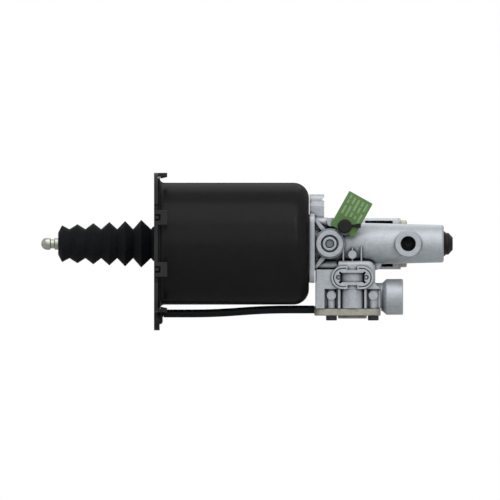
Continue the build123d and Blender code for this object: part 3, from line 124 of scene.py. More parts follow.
@dataclass(frozen=True)
class Finish:
    """One real material with the surface that its making left.

    Lengths are in millimetres. mottle is the size of the colour patches, grain the size of the
    surface grain and grain_height its depth. The real grain of most surfaces here is finer than
    a pixel of the picture, so it is drawn 0.8 to 1.6 mm wide, as coarse as it needs to show.
    edge is the radius that moulding and handling gave to the edges. The corner colour is shade
    painted into the corners, and its reach says how far that painted shade comes out of them.
    """

    name: str
    colour: str
    shade: str
    metallic: float
    roughness: float
    roughness_swing: float = 0.05
    mottle: float = 9.0
    grain: float = 1.4
    grain_height: float = 0.02
    working: Working = Working.MOULDED
    edge: float = 0.5
    # colour of the shade painted into the corners, and how far that painted shade reaches
    painted_shade: str | None = None
    painted_shade_reach: float = 4.0
    coat: float = 0.0
    coat_roughness: float = 0.25
    specular: float = 0.5

    def stretch(self) -> tuple[float, float, float]:
        """Gives the scale of the grain along X, Y and Z for the way of working.

        Returns:
            The three factors, small where the grain is long.
        """
        if self.working is Working.TURNED:
            return 1.0, RING_STRETCH, RING_STRETCH
        if self.working is Working.DRAWN:
            return DRAW_STRETCH, 1.0, 1.0
        return 1.0, 1.0, 1.0

    def tint(
        self,
        tree: bpy.types.NodeTree,
        patches: bpy.types.NodeSocket,
        grain: bpy.types.NodeSocket,
    ) -> bpy.types.NodeSocket:
        """Blends shade and colour by patches and grain, and paints shade into the corners.

        Args:
            tree: the material's node tree.
            patches: the noise of the patches.
            grain: the noise of the grain.

        Returns:
            The socket that carries the colour.
        """
        blend = add_node(
            tree,
            "ShaderNodeMapRange",
            inputs={"Value": patches, "From Min": PATCH_BAND[0], "From Max": PATCH_BAND[1]},
        ).outputs["Result"]
        speckle = add_node(
            tree,
            "ShaderNodeMapRange",
            inputs={"Value": grain, "From Min": GRAIN_BAND[0], "From Max": GRAIN_BAND[1]},
        ).outputs["Result"]
        patch_part = add_node(
            tree, "ShaderNodeMath", {"operation": "MULTIPLY"}, {0: blend, 1: 1 - GRAIN_SHARE}
        ).outputs[0]
        share = add_node(
            tree,
            "ShaderNodeMath",
            {"operation": "MULTIPLY_ADD"},
            {0: speckle, 1: GRAIN_SHARE, 2: patch_part},
        ).outputs[0]
        colour = add_node(
            tree,
            "ShaderNodeMix",
            {"data_type": "RGBA"},
            {0: share, 6: linear(self.shade), 7: linear(self.colour)},
        ).outputs[2]
        if not self.painted_shade:
            return colour
        # painted shade: where little round a point is open, its colour turns to the corner colour
        openness = add_node(
            tree,
            "ShaderNodeAmbientOcclusion",
            {"samples": 8},
            {"Distance": self.painted_shade_reach * MM},
        ).outputs["AO"]
        clear = add_node(
            tree,
            "ShaderNodeMapRange",
            inputs={"Value": openness, "From Min": OPEN_BAND[0], "From Max": OPEN_BAND[1]},
        ).outputs["Result"]
        return add_node(
            tree,
            "ShaderNodeMix",
            {"data_type": "RGBA"},
            {0: clear, 6: linear(self.painted_shade), 7: colour},
        ).outputs[2]

    def relief(
        self, tree: bpy.types.NodeTree, grain: bpy.types.NodeSocket
    ) -> bpy.types.NodeSocket:
        """Rounds the edges a little and raises the grain.

        Args:
            tree: the material's node tree.
            grain: the noise of the grain.

        Returns:
            The socket that carries the surface's direction.
        """
        softened = add_node(
            tree, "ShaderNodeBevel", {"samples": 6}, {"Radius": self.edge * MM}
        ).outputs["Normal"]
        return add_node(
            tree,
            "ShaderNodeBump",
            inputs={
                "Strength": 1.0,
                "Distance": self.grain_height * MM,
                "Height": grain,
                "Normal": softened,
            },
        ).outputs["Normal"]

    def build(self) -> bpy.types.Material:
        """Builds the procedural material.

        Returns:
            The Blender material, named for the real one.
        """
        material = bpy.data.materials.new(self.name)
        material.use_nodes = True
        tree = material.node_tree
        tree.nodes.clear()
        place = add_node(tree, "ShaderNodeTexCoord").outputs["Object"]
        patches = add_node(
            tree,
            "ShaderNodeTexNoise",
            inputs={
                "Vector": place,
                "Scale": 1 / (self.mottle * MM),
                "Detail": 4.0,
                "Roughness": 0.6,
            },
        ).outputs["Fac"]
        stretched = add_node(
            tree, "ShaderNodeMapping", inputs={"Vector": place, "Scale": self.stretch()}
        ).outputs["Vector"]
        grain = add_node(
            tree,
            "ShaderNodeTexNoise",
            inputs={
                "Vector": stretched,
                "Scale": 1 / (self.grain * MM),
                "Detail": 3.0,
                "Roughness": 0.65,
            },
        ).outputs["Fac"]
        rough = add_node(
            tree,
            "ShaderNodeMapRange",
            inputs={
                "Value": patches,
                "From Min": PATCH_BAND[0],
                "From Max": PATCH_BAND[1],
                "To Min": self.roughness - self.roughness_swing,
                "To Max": self.roughness + self.roughness_swing,
            },
        ).outputs["Result"]
        shader = add_node(
            tree,
            "ShaderNodeBsdfPrincipled",
            inputs={
                "Base Color": self.tint(tree, patches, grain),
                "Metallic": self.metallic,
                "Roughness": rough,
                "Normal": self.relief(tree, grain),
                "Coat Weight": self.coat,
                "Coat Roughness": self.coat_roughness,
                "Specular IOR Level": self.specular,
            },
        )
        add_node(tree, "ShaderNodeOutputMaterial", inputs={"Surface": shader.outputs["BSDF"]})
        return material


# Stoved enamel on deep-drawn steel: near black, soft broad highlights, faint drawing marks. The
# marks are really about 0.1 mm wide and are drawn 1.6 mm wide so that they show.
CAN_ENAMEL = Finish(
    name="stoved_enamel_on_drawn_steel",
    colour="202020",
    shade="1b1b1b",
    metallic=0.0,
    roughness=0.6,
    specular=0.0,
    coat=0.1,
    coat_roughness=0.25,
    mottle=18.0,
    grain=1.6,
    grain_height=0.006,
    working=Working.DRAWN,
    edge=0.4,
)
# The same enamel on the thick pressed flange: a little greyer and duller, with shade painted into
# the corners.
FLANGE_ENAMEL = Finish(
    name="stoved_enamel_on_pressed_plate",
    colour="303030",
    shade="242424",
    metallic=0.0,
    roughness=0.6,
    specular=0.15,
    mottle=12.0,
    grain_height=0.012,
    edge=0.8,
    painted_shade="0a0a0a",
    painted_shade_reach=3.0,
)
# Shot-blasted aluminium die casting: cool grey, matt, finely pitted, with shade painted as dark
# lines into the corners.
# The pits are really 0.3 to 0.5 mm wide and are drawn 1.5 mm wide so that they show.
CAST_ALUMINIUM = Finish(
    name="shot_blasted_aluminium_casting",
    colour="b0b5b9",
    shade="969ca2",
    metallic=0.3,
    roughness=0.48,
    roughness_swing=0.06,
    mottle=6.0,
    grain=1.5,
    grain_height=0.06,
    edge=0.7,
    painted_shade="20262b",
    painted_shade_reach=3.4,
)
# Turned aluminium of the pistons and of the air port's thread: brighter, with tool rings. They
# are really about 0.1 mm apart and are drawn 0.8 mm apart so that they show.
TURNED_ALUMINIUM = Finish(
    name="turned_aluminium",
    colour="c2c6c9",
    shade="aeb3b7",
    metallic=0.9,
    roughness=0.32,
    grain=0.8,
    working=Working.TURNED,
    edge=0.2,
)
# Zinc plating with a clear passivation: warm grey, a little cloudy, half gloss. Its crystals are
# far finer than the grain of 1.2 mm that is drawn so that they show.
# Shade is painted into its corners.
ZINC = Finish(
    name="zinc_plated_steel",
    colour="a4a295",
    shade="817f76",
    metallic=0.55,
    roughness=0.45,
    roughness_swing=0.08,
    mottle=5.0,
    grain=1.2,
    grain_height=0.008,
    edge=0.5,
    painted_shade="5e5a50",
    painted_shade_reach=2.5,
)
# Turned and zinc-plated push rod: pale, slightly green-grey, with rings from the lathe, which
# are really about 0.1 mm apart and are drawn 0.8 mm apart so that they show.
ROD_STEEL = Finish(
    name="turned_zinc_plated_rod",
    colour="9ea298",
    shade="8b9086",
    metallic=0.8,
    roughness=0.3,
    roughness_swing=0.03,
    grain=0.8,
    grain_height=0.003,
    working=Working.TURNED,
    edge=0.4,
)
# Turned steel of the union in the left port: light grey with a dull shine, with shade painted into
# its gaps.
UNION_STEEL = Finish(
    name="turned_union_steel",
    colour="9ca2a7",
    shade="838a90",
    metallic=0.7,
    roughness=0.4,
    grain=0.9,
    grain_height=0.01,
    edge=0.4,
    painted_shade="20262c",
    painted_shade_reach=2.0,
)
# Steel disc in the middle of the union: the union's steel made darker, mid grey and matt, as
# painted shade in the union's middle, with more shade painted into its gaps.
UNION_STEEL_IN_PAINTED_SHADE = Finish(
    name="union_steel_darkened_as_painted_shade",
    colour="6f7478",
    shade="5d6266",
    metallic=0.4,
    roughness=0.5,
    grain=0.9,
    grain_height=0.01,
    edge=0.3,
    painted_shade="20262c",
    painted_shade_reach=1.5,
)
# Phosphated nozzles of the hose: almost black, matt. The same near black on the thread inside the
# open hydraulic port is painted shade.
NOZZLE_BLACK_AND_PORT_SHADE = Finish(
    name="black_nozzles_and_painted_port_shade",
    colour="101113",
    shade="0a0b0c",
    metallic=0.0,
    roughness=0.7,
    specular=0.2,
    edge=0.2,
)
# Oil-tempered spring wire: dark grey, smooth, softly shining.
SPRING_WIRE = Finish(
    name="oil_tempered_spring_wire",
    colour="4a4b4d",
    shade="38393b",
    metallic=0.9,
    roughness=0.4,
    edge=0.1,
)
# Blackened screw heads: deep black with a soft sheen, with shade painted inside the socket.
BLACK_OXIDE = Finish(
    name="blackened_screw_steel",
    colour="26262a",
    shade="18181a",
    metallic=0.2,
    specular=0.3,
    roughness=0.42,
    mottle=3.0,
    grain_height=0.01,
    edge=0.25,
    painted_shade="070708",
    painted_shade_reach=1.5,
)
# Sintered bronze of the plunger's bush: warm brown gold, softly shining, slightly porous.
BRONZE = Finish(
    name="sintered_bronze",
    colour="b58a4e",
    shade="94703c",
    metallic=0.9,
    roughness=0.4,
)
# Turned brass of the relay valve's seat and disc: pale yellow with a clear shine.
BRASS = Finish(
    name="turned_brass",
    colour="c9ac6b",
    shade="a98d50",
    metallic=0.95,
    roughness=0.3,
)
# Moulded nitrile rubber of the bellows: black with a blue cast, matt, with shade painted between
# the folds.
BELLOWS_RUBBER = Finish(
    name="moulded_bellows_rubber",
    colour="1a1d20",
    shade="121416",
    metallic=0.0,
    roughness=0.75,
    specular=0.06,
    mottle=14.0,
    grain=0.9,
    grain_height=0.012,
    edge=0.1,
    painted_shade="060708",
    painted_shade_reach=3.0,
)
# Extruded rubber of the hose: smooth, black with a blue cast, a thin sheen along it.
HOSE_RUBBER = Finish(
    name="extruded_hose_rubber",
    colour="12171b",
    shade="0b0f13",
    metallic=0.0,
    roughness=0.5,
    specular=0.1,
    mottle=20.0,
    grain=1.2,
    grain_height=0.008,
    working=Working.DRAWN,
    edge=0.2,
)
# Moulded rubber of the bleed cap and the seals: warm black, dull, soft at the edges.
CAP_RUBBER = Finish(
    name="moulded_cap_rubber",
    colour="20201d",
    shade="171714",
    metallic=0.0,
    roughness=0.62,
    specular=0.16,
    mottle=4.0,
    grain_height=0.01,
    edge=0.5,
)
# Glass-filled polyamide of plug, spigot and silencer: warm black, dull, a little uneven.
POLYAMIDE = Finish(
    name="glass_filled_polyamide",
    colour="1d1b1a",
    shade="151413",
    metallic=0.0,
    roughness=0.5,
    specular=0.14,
    mottle=5.0,
    grain_height=0.012,
    edge=0.5,
)
# Green plastic tag: flat and even, slightly scuffed.
TAG_GREEN = Finish(
    name="green_tag_plastic",
    colour="5f8450",
    shade="557a45",
    metallic=0.0,
    roughness=0.55,
    specular=0.25,
    mottle=6.0,
    grain=1.1,
    grain_height=0.008,
    edge=0.2,
)
# Ink of the bars on the tag: pale dry green, a little worn.
TAG_INK = Finish(
    name="pale_tag_ink",
    colour="8fa57b",
    shade="7c9669",
    metallic=0.0,
    roughness=0.6,
    mottle=2.0,
    edge=0.05,
)
# Pressed fibre gaskets: dark brown grey, dry, without shine.
GASKET = Finish(
    name="pressed_gasket_fibre",
    colour="4b4a47",
    shade="3a3936",
    metallic=0.0,
    roughness=0.8,
    edge=0.1,
)
# Matt backdrop paper: pale and even, without shine.
BACKDROP_PAPER = Finish(
    name="matt_backdrop_paper",
    colour="e9eaeb",
    shade="e4e5e6",
    metallic=0.0,
    roughness=0.9,
    mottle=60.0,
    grain=4.0,
    grain_height=0.005,
    edge=0.01,
)

NODE_FINISHES: dict[str, Finish] = {
    "mounting_flange": FLANGE_ENAMEL,
    "flange_seal": HOSE_RUBBER,
    "cylinder_can": CAN_ENAMEL,
    "boot_spigot": POLYAMIDE,
    "rubber_boot": BELLOWS_RUBBER,
    "return_spring": SPRING_WIRE,
    "valve_housing": CAST_ALUMINIUM,
    "housing_gasket": GASKET,
    "housing_screws": ZINC,
    "plunger_bush": BRONZE,
    "end_plug": POLYAMIDE,
    "port_union": UNION_STEEL,
    "union_valve": UNION_STEEL_IN_PAINTED_SHADE,
    "bleed_screw": ZINC,
    "bleed_cap": CAP_RUBBER,
    "info_tag": TAG_GREEN,
    "valve_seat": BRASS,
    "valve_cover": ZINC,
    "cover_gasket": GASKET,
    "cover_screws": BLACK_OXIDE,
    "valve_spring": SPRING_WIRE,
    "vent_hose": HOSE_RUBBER,
    "hose_nozzles": NOZZLE_BLACK_AND_PORT_SHADE,
    "silencer_cartridge": POLYAMIDE,
    "silencer_cover": ZINC,
    "push_rod": ROD_STEEL,
    "rod_retainer": SPRING_WIRE,
    "power_piston": TURNED_ALUMINIUM,
    "piston_seal": CAP_RUBBER,
    "piston_guide_ring": POLYAMIDE,
    "piston_nut": ZINC,
    "hydraulic_plunger": ROD_STEEL,
    "plunger_seal": CAP_RUBBER,
    "relay_piston": TURNED_ALUMINIUM,
    "relay_seal": CAP_RUBBER,
    "valve_disc": BRASS,
}


class FinishShop:
    """Builds each finish once and hands it out."""

    def __init__(self) -> None:
        """Starts with no material built."""
        self._built: dict[str, bpy.types.Material] = {}

    def material(self, finish: Finish) -> bpy.types.Material:
        """Gives the material of a finish, building it on first use.

        Args:
            finish: the finish that is asked for.

        Returns:
            Its Blender material.
        """
        if finish.name not in self._built:
            self._built[finish.name] = finish.build()
        return self._built[finish.name]


# ---------------------------------------------------------------- mesh helpers


def settle(
    shape: bmesh.types.BMesh,
    name: str,
    material: bpy.types.Material,
    smooth_below: float = 40.0,
) -> bpy.types.Object:
    """Turns a bmesh into a finished object at the origin.

    Args:
        shape: the bmesh, in metres and in place; it is freed.
        name: the piece's name.
        material: its finish.
        smooth_below: edges flatter than this many degrees are shaded smooth.

    Returns:
        The new object, linked to the scene.
    """
    bmesh.ops.remove_doubles(shape, verts=shape.verts, dist=WELD)
    bmesh.ops.recalc_face_normals(shape, faces=shape.faces)
    limit = math.radians(smooth_below)
    for face in shape.faces:
        face.smooth = True
    for edge in shape.edges:
        edge.smooth = len(edge.link_faces) == 2 and edge.calc_face_angle(0.0) < limit
    mesh = bpy.data.meshes.new(name)
    shape.to_mesh(mesh)
    shape.free()
    mesh.materials.append(material)
    made = bpy.data.objects.new(name, mesh)
    bpy.context.scene.collection.objects.link(made)
    return made


def turn_profile(
    shape: bmesh.types.BMesh,
    profile: list[tuple[float, float]],
    centre: Vector,
    axis: Vector,
    out: Vector,
    steps: int,
) -> None:
    """Spins a closed profile about an axis.

    Args:
        shape: the bmesh that gets the turned body.
        profile: millimetres along the axis and away from it, as a closed loop.
        centre: a point on the axis, in millimetres.
        axis: the axis direction.
        out: a direction square to the axis, in which the profile is drawn.
        steps: flats round a full turn.
    """
    loop = [
        shape.verts.new((centre + axis * along + out * radius) * MM) for along, radius in profile
    ]
    edges = [shape.edges.new(ends) for ends in zip(loop, loop[1:] + loop[:1])]
    bmesh.ops.spin(
        shape,
        geom=loop + edges,
        cent=centre * MM,
        axis=axis,
        angle=math.tau,
        steps=steps,
        use_merge=True,
        use_duplicate=False,
    )


def rounded(
    corners: list[tuple[float, float, float]], cuts: int = 3
) -> list[tuple[float, float]]:
    """Rounds the corners of a closed outline.

    Args:
        corners: the outline's corners in order, each with how far it is cut back on both sides.
        cuts: points that replace each corner, less one.

    Returns:
        The outline with its corners replaced by short curves.
    """
    made: list[tuple[float, float]] = []
    for index, (along, away, reach) in enumerate(corners):
        here = Vector((along, away))
        last = Vector(corners[index - 1][:2])
        following = Vector(corners[(index + 1) % len(corners)][:2])
        before = (last - here).normalized() * reach
        after = (following - here).normalized() * reach
        for step in range(cuts + 1):
            share = step / cuts
            point = here + before * (1 - share) ** 2 + after * share**2
            made.append((point.x, point.y))
    return made


# ---------------------------------------------------------------- sub-assemblies


class Maker(Protocol):
    """Anything that builds one visible piece."""

    def build(self, shop: FinishShop) -> bpy.types.Object:
        """Builds the piece with a finish from the shop."""


@dataclass
class Bellows:
    """The rubber boot between push rod and flange. Lengths in millimetres."""

    peaks: tuple[tuple[float, float], ...] = (
        (-82.8, 16.6),
        (-68.9, 17.6),
        (-54.6, 18.6),
        (-40.2, 19.6),
        (-26.0, 20.5),
        (-11.5, 21.5),
    )
    valleys: tuple[float, ...] = (-76.0, -61.7, -47.5, -33.1, -18.8, -2.7)
    front: float = -86.3
    front_radius: float = 9.9
    front_round: float = 0.8
    mouth_radius: float = 5.8
    mouth_round: float = 0.3
    tip_round: float = 0.3
    valley_radius: float = 13.1
    valley_round: float = 0.4
    seat_radius: float = 15.5
    seat_length: float = 0.9
    seat_round: float = 0.5
    rear_bore: float = 11.5
    rear_round: float = 0.2
    wall: float = 1.6
    peak_wall: float = 2.4
    front_peak_shift: float = 0.6  # keeps the wall of the steep front fold
    inner_valley_round: float = 0.8
    inner_peak_round: float = 0.6
    lip_slope: float = 2.3
    lip_slope_wall: float = 1.3
    lip_length: float = 5.2
    lip_wall: float = 2.2
    lip_round: float = 0.5
    stroke: float = 50.0
    flats: int = 96

    def outer(self) -> list[tuple[float, float, float]]:
        """Draws the outside from the mouth to the rear bore, with the rounding of each corner.

        Returns:
            Place along the rod axis, radius and rounding of each corner.
        """
        points = [
            (self.front, self.mouth_radius, self.mouth_round),
            (self.front, self.front_radius, self.front_round),
        ]
        for (peak, radius), valley in zip(self.peaks, self.valleys):
            points.append((peak, radius, self.tip_round))
            points.append((valley, self.valley_radius, self.valley_round))
        points.append((-self.seat_length, self.seat_radius, self.seat_round))
        points.append((0.0, self.seat_radius, self.rear_round))
        points.append((0.0, self.rear_bore, self.rear_round))
        return points

    def inner(self) -> list[tuple[float, float, float]]:
        """Draws the inside from the rear fold to the lip, with the rounding of each corner.

        Returns:
            Place along the rod axis, radius and rounding of each corner.
        """
        points: list[tuple[float, float, float]] = []
        for (peak, radius), valley in zip(reversed(self.peaks), reversed(self.valleys)):
            points.append((valley, self.valley_radius - self.wall, self.inner_valley_round))
            points.append((peak, radius - self.peak_wall, self.inner_peak_round))
        along, radius, reach = points[-1]
        points[-1] = (along + self.front_peak_shift, radius, reach)
        lip_end = self.front + self.lip_length
        points += [
            (self.front + self.lip_slope, self.front_radius - self.lip_slope_wall, self.lip_round),
            (lip_end, self.front_radius - self.lip_wall, self.mouth_round),
            (lip_end, self.mouth_radius, self.mouth_round),
        ]
        return points

    def build(self, shop: FinishShop) -> bpy.types.Object:
        """Builds the bellows, which stays on the flange.

        Args:
            shop: hands out the finishes.

        Returns:
            The finished piece.
        """
        shape = bmesh.new()
        outline = rounded(self.outer() + self.inner())
        turn_profile(shape, outline, Vector(), ALONG, UP, self.flats)
        piece = settle(shape, "bellows", shop.material(BELLOWS_RUBBER), smooth_below=30.0)
        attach(piece, HOUSING)
        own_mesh(piece)
        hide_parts("rubber_boot")
        return piece


@dataclass
class CoilSpring:
    """A helical spring that a joint presses together. Lengths in millimetres."""

    name: str
    node: str
    joint: str
    start: Vector
    axis: Vector
    length: float
    radius: float
    wire: float
    turns: int
    travel: float
    anchor_at_start: bool
    steps_per_turn: int = 28
    wire_sides: int = 8

    def wind(self) -> bmesh.types.BMesh:
        """Winds the wire's section into a closed coil.

        Returns:
            The bmesh with the coil in place.
        """
        shape = bmesh.new()
        out = self.axis.orthogonal().normalized()
        tangent = self.axis.cross(out).normalized()
        centre = self.start + out * self.radius
        basis = Matrix((out, self.axis, tangent)).transposed().to_4x4()
        bmesh.ops.create_circle(
            shape,
            cap_ends=False,
            segments=self.wire_sides,
            radius=self.wire / 2 * MM,
            matrix=Matrix.Translation(centre * MM) @ basis,
        )
        bmesh.ops.spin(
            shape,
            geom=shape.verts[:] + shape.edges[:],
            cent=self.start * MM,
            axis=self.axis,
            dvec=self.axis * (self.length / self.turns / self.steps_per_turn) * MM,
            angle=math.tau * self.turns,
            steps=self.steps_per_turn * self.turns,
            use_merge=False,
            use_duplicate=False,
        )
        ends = [edge for edge in shape.edges if edge.is_boundary]
        bmesh.ops.holes_fill(shape, edges=ends, sides=self.wire_sides)
        return shape

    def build(self, shop: FinishShop) -> bpy.types.Object:
        """Builds the spring.

        Args:
            shop: hands out the finishes.

        Returns:
            The finished piece.
        """
        piece = settle(self.wind(), self.name, shop.material(SPRING_WIRE), smooth_below=60.0)
        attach(piece, HOUSING)
        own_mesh(piece)
        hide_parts(self.node)
        return piece


@dataclass
class CoverScrews:
    """The four socket-head screws under the valve cover. Lengths in millimetres."""

    rows: tuple[float, float] = (-20.0, 14.0)
    columns: tuple[float, float] = (159.7, 197.3)
    seat: float = -64.8
    head_radius: float = 4.95
    head_height: float = 4.3
    head_chamfer: float = 0.6
    head_break_height: float = 0.35
    head_break_depth: float = 0.25
    shank_radius: float = 2.95
    shank_length: float = 15.5
    socket_sides: int = 6
    socket_flats: float = 5.0
    socket_depth: float = 2.6
    socket_lead: float = 0.35
    socket_lead_depth: float = 0.3
    knurl: float = 0.16
    flats: int = 48

    def ring(
        self,
        shape: bmesh.types.BMesh,
        centre: Vector,
        radius: float,
        sides: int,
        knurled: bool = False,
    ) -> list[bmesh.types.BMEdge]:
        """Adds a ring of wire edges, all rings with the same number of points.

        Args:
            shape: the bmesh that gets the ring.
            centre: the ring's centre, in millimetres.
            radius: the radius of its corners.
            sides: corners of the ring.
            knurled: whether every second point lies a little further in.

        Returns:
            The ring's edges.
        """
        made = bmesh.ops.create_circle(
            shape, segments=sides, radius=radius * MM, matrix=Matrix.Translation(centre * MM)
        )["verts"]
        if knurled:
            for vert in made[::2]:
                vert.co += (centre * MM - vert.co).normalized() * self.knurl * MM
        if sides < self.flats:
            wires = [edge for edge in shape.edges if edge.is_wire]
            bmesh.ops.subdivide_edges(shape, edges=wires, cuts=self.flats // sides - 1)
        return [edge for edge in shape.edges if edge.is_wire]

    def screw(self, shape: bmesh.types.BMesh, x: float, y: float) -> None:
        """Adds one screw with a knurled head that points down.

        Args:
            shape: the bmesh that collects the screws.
            x: place of the screw along the rod axis.
            y: place of the screw across it.
        """
        face = self.seat - self.head_height
        corners = self.socket_flats / math.sqrt(3)
        broken = self.head_radius - self.head_break_depth
        stages = [
            (self.seat + self.shank_length, self.shank_radius, self.flats, False),
            (self.seat, self.shank_radius, self.flats, False),
            (self.seat, self.head_radius, self.flats, True),
            (face + self.head_chamfer, self.head_radius, self.flats, True),
            (face + self.head_break_height, broken, self.flats, False),
            (face, self.head_radius - self.head_chamfer, self.flats, False),
            (face, corners + self.socket_lead, self.socket_sides, False),
            (face + self.socket_lead_depth, corners, self.socket_sides, False),
            (face + self.socket_depth, corners, self.socket_sides, False),
        ]
        last: list[bmesh.types.BMEdge] = []
        for height, radius, sides, knurled in stages:
            ring = self.ring(shape, Vector((x, y, height)), radius, sides, knurled)
            if last:
                bmesh.ops.bridge_loops(shape, edges=last + ring)
            else:
                bmesh.ops.edgeloop_fill(shape, edges=ring)
            last = ring
        bmesh.ops.edgeloop_fill(shape, edges=last)

    def build(self, shop: FinishShop) -> bpy.types.Object:
        """Builds the group of screws in place of the plain ones.

        Args:
            shop: hands out the finishes.

        Returns:
            The finished piece.
        """
        shape = bmesh.new()
        for y in self.rows:
            for x in self.columns:
                self.screw(shape, x, y)
        piece = settle(shape, "socket_head_screws", shop.material(BLACK_OXIDE), smooth_below=28.0)
        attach(piece, HOUSING)
        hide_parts("cover_screws")
        return piece


@dataclass
class PortThread:
    """The cut thread inside an open port. Lengths in millimetres."""

    name: str
    mouth: Vector
    inward: Vector
    wall_radius: float
    crest: float
    turns: int
    floor_bore: float
    finish: Finish
    pitch: float = 1.5
    lead_in: float = 0.3
    root_clearance: float = 0.02
    flank_start: float = 0.15  # shares of the pitch at which flank and crest begin and end
    crest_start: float = 0.5
    crest_end: float = 0.62
    seat_thickness: float = 0.12
    flats: int = 64

    def profile(self) -> list[tuple[float, float]]:
        """Draws the thread's section with the sealing ring on the port's floor.

        Returns:
            Places along the port and radii, as a closed loop.
        """
        root = self.wall_radius - self.root_clearance
        crest = self.wall_radius - self.crest
        points = [(self.lead_in, self.wall_radius)]
        for turn in range(self.turns):
            begin = self.lead_in + turn * self.pitch
            points.append((begin + self.flank_start * self.pitch, root))
            points.append((begin + self.crest_start * self.pitch, crest))
            points.append((begin + self.crest_end * self.pitch, crest))
        end = self.lead_in + self.turns * self.pitch
        points += [(end, root), (end, self.floor_bore)]
        points.append((end + self.seat_thickness, self.floor_bore))
        points.append((end + self.seat_thickness, self.wall_radius))
        return points

    def build(self, shop: FinishShop) -> bpy.types.Object:
        """Turns the thread inside its port.

        Args:
            shop: hands out the finishes.

        Returns:
            The finished piece.
        """
        shape = bmesh.new()
        turn_profile(shape, self.profile(), self.mouth, self.inward, UP, self.flats)
        piece = settle(shape, self.name, shop.material(self.finish), smooth_below=25.0)
        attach(piece, HOUSING)
        return piece


@dataclass
class TagPrint:
    """Plain bars printed on the near face of the tag. Lengths in millimetres."""

    hole: tuple[float, float] = (171.8, 15.75)
    face: float = -25.3
    angle: float = 60.7
    lift: float = 0.04
    row_pitch: float = 4.15
    bar_height: float = 1.7
    corner_share: float = 0.3  # rounding of a bar's corners as a share of its height
    corner_cuts: int = 3
    rows: tuple[tuple[tuple[float, float], ...], ...] = (
        ((7.6, 16.4), (19.2, 27.4)),
        ((9.4, 12.6), (15.8, 21.4), (22.4, 27.0)),
        ((9.6, 14.0), (15.6, 27.2)),
        ((8.0, 18.6), (20.6, 27.4)),
        ((9.0, 17.2), (19.2, 23.0), (24.0, 27.6)),
    )

    def bar(self, shape: bmesh.types.BMesh, place: Matrix, length: float) -> None:
        """Adds one bar with rounded corners.

        Args:
            shape: the bmesh that collects the bars.
            place: where the bar's middle lies and how it is turned.
            length: the bar's length.
        """
        size = Matrix.Diagonal(Vector((length, self.lift, self.bar_height)) * MM).to_4x4()
        corners = bmesh.ops.create_cube(shape, size=1.0, matrix=place @ size)["verts"]
        uprights = [
            edge
            for edge in shape.edges
            if edge.verts[0] in corners
            and abs((edge.verts[0].co - edge.verts[1].co).y) > self.lift / 2 * MM
        ]
        bmesh.ops.bevel(
            shape,
            geom=uprights,
            offset=self.corner_share * self.bar_height * MM,
            offset_type="OFFSET",
            affect="EDGES",
            segments=self.corner_cuts,
            profile=0.5,
            material=-1,
        )

    def build(self, shop: FinishShop) -> bpy.types.Object:
        """Lays the bars on the tag's near face.

        Args:
            shop: hands out the finishes.

        Returns:
            The finished piece.
        """
        shape = bmesh.new()
        turn = Matrix.Rotation(-math.radians(self.angle), 4, "Y")
        base = Matrix.Translation(Vector((self.hole[0], self.face, self.hole[1])) * MM) @ turn
        for number, row in enumerate(self.rows):
            across = (number - (len(self.rows) - 1) / 2) * self.row_pitch
            for low, high in row:
                middle = Vector(((low + high) / 2, -self.lift / 2, across)) * MM
                self.bar(shape, base @ Matrix.Translation(middle), high - low)
        piece = settle(shape, "tag_bars", shop.material(TAG_INK), smooth_below=30.0)
        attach(piece, HOUSING)
        return piece


@dataclass
class SilencerCartridge:
    """The finned exhaust silencer behind the barrel. Lengths in millimetres."""

    centre: Vector
    start: float = 190.0
    end: float = 215.9
    radius: float = 20.9
    plain_end: float = 2.0
    fin_depth: float = 0.25
    fin_pitch: float = 2.6
    groove_share: float = 0.45  # how much of the pitch is groove
    flank: float = 0.35
    flats: int = 96

    def profile(self) -> list[tuple[float, float]]:
        """Draws half the cartridge's section with its grooves.

        Returns:
            Places along the cartridge and radii.
        """
        floor = self.radius - self.fin_depth
        groove = self.groove_share * self.fin_pitch
        points = [(self.start, 0.0), (self.start, self.radius)]
        count = int((self.end - self.start - 2 * self.plain_end) / self.fin_pitch)
        for fin in range(count):
            begin = self.start + self.plain_end + fin * self.fin_pitch
            points += [(begin, self.radius), (begin + self.flank, floor)]
            points += [(begin + groove, floor), (begin + groove + self.flank, self.radius)]
        return points + [(self.end, self.radius), (self.end, 0.0)]

    def build(self, shop: FinishShop) -> bpy.types.Object:
        """Turns the cartridge with its fins.

        Args:
            shop: hands out the finishes.

        Returns:
            The finished piece.
        """
        shape = bmesh.new()
        turn_profile(shape, self.profile(), self.centre, ALONG, UP, self.flats)
        piece = settle(shape, "finned_silencer", shop.material(POLYAMIDE), smooth_below=30.0)
        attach(piece, HOUSING)
        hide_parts("silencer_cartridge")
        return piece


@dataclass
class ServoBody:
    """The rigid nodes of the servo, which keep their shape and get their finishes."""

    finishes: dict[str, Finish]

    def dress(self, shop: FinishShop) -> None:
        """Gives each node its finish.

        Args:
            shop: hands out the finishes.
        """
        for name, finish in self.finishes.items():
            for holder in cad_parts[name].material_slots:
                holder.material = shop.material(finish)
            LOG.info("node %s is %s", name, finish.name)


# ---------------------------------------------------------------- studio


@dataclass(frozen=True)
class Lamp:
    """A soft rectangular lamp that points at the servo's middle. Lengths in millimetres."""

    name: str
    place: tuple[float, float, float]
    width: float
    height: float
    watts: float

    def hang(self) -> None:
        """Hangs the lamp in the scene."""
        data = bpy.data.lights.new(self.name, "AREA")
        data.shape = "RECTANGLE"
        data.size = self.width * MM
        data.size_y = self.height * MM
        data.energy = self.watts
        lamp = bpy.data.objects.new(self.name, data)
        place = Vector(self.place)
        lamp.location = place * MM
        lamp.rotation_euler = (MIDDLE - place).to_track_quat("-Z", "Y").to_euler()
        bpy.context.scene.collection.objects.link(lamp)


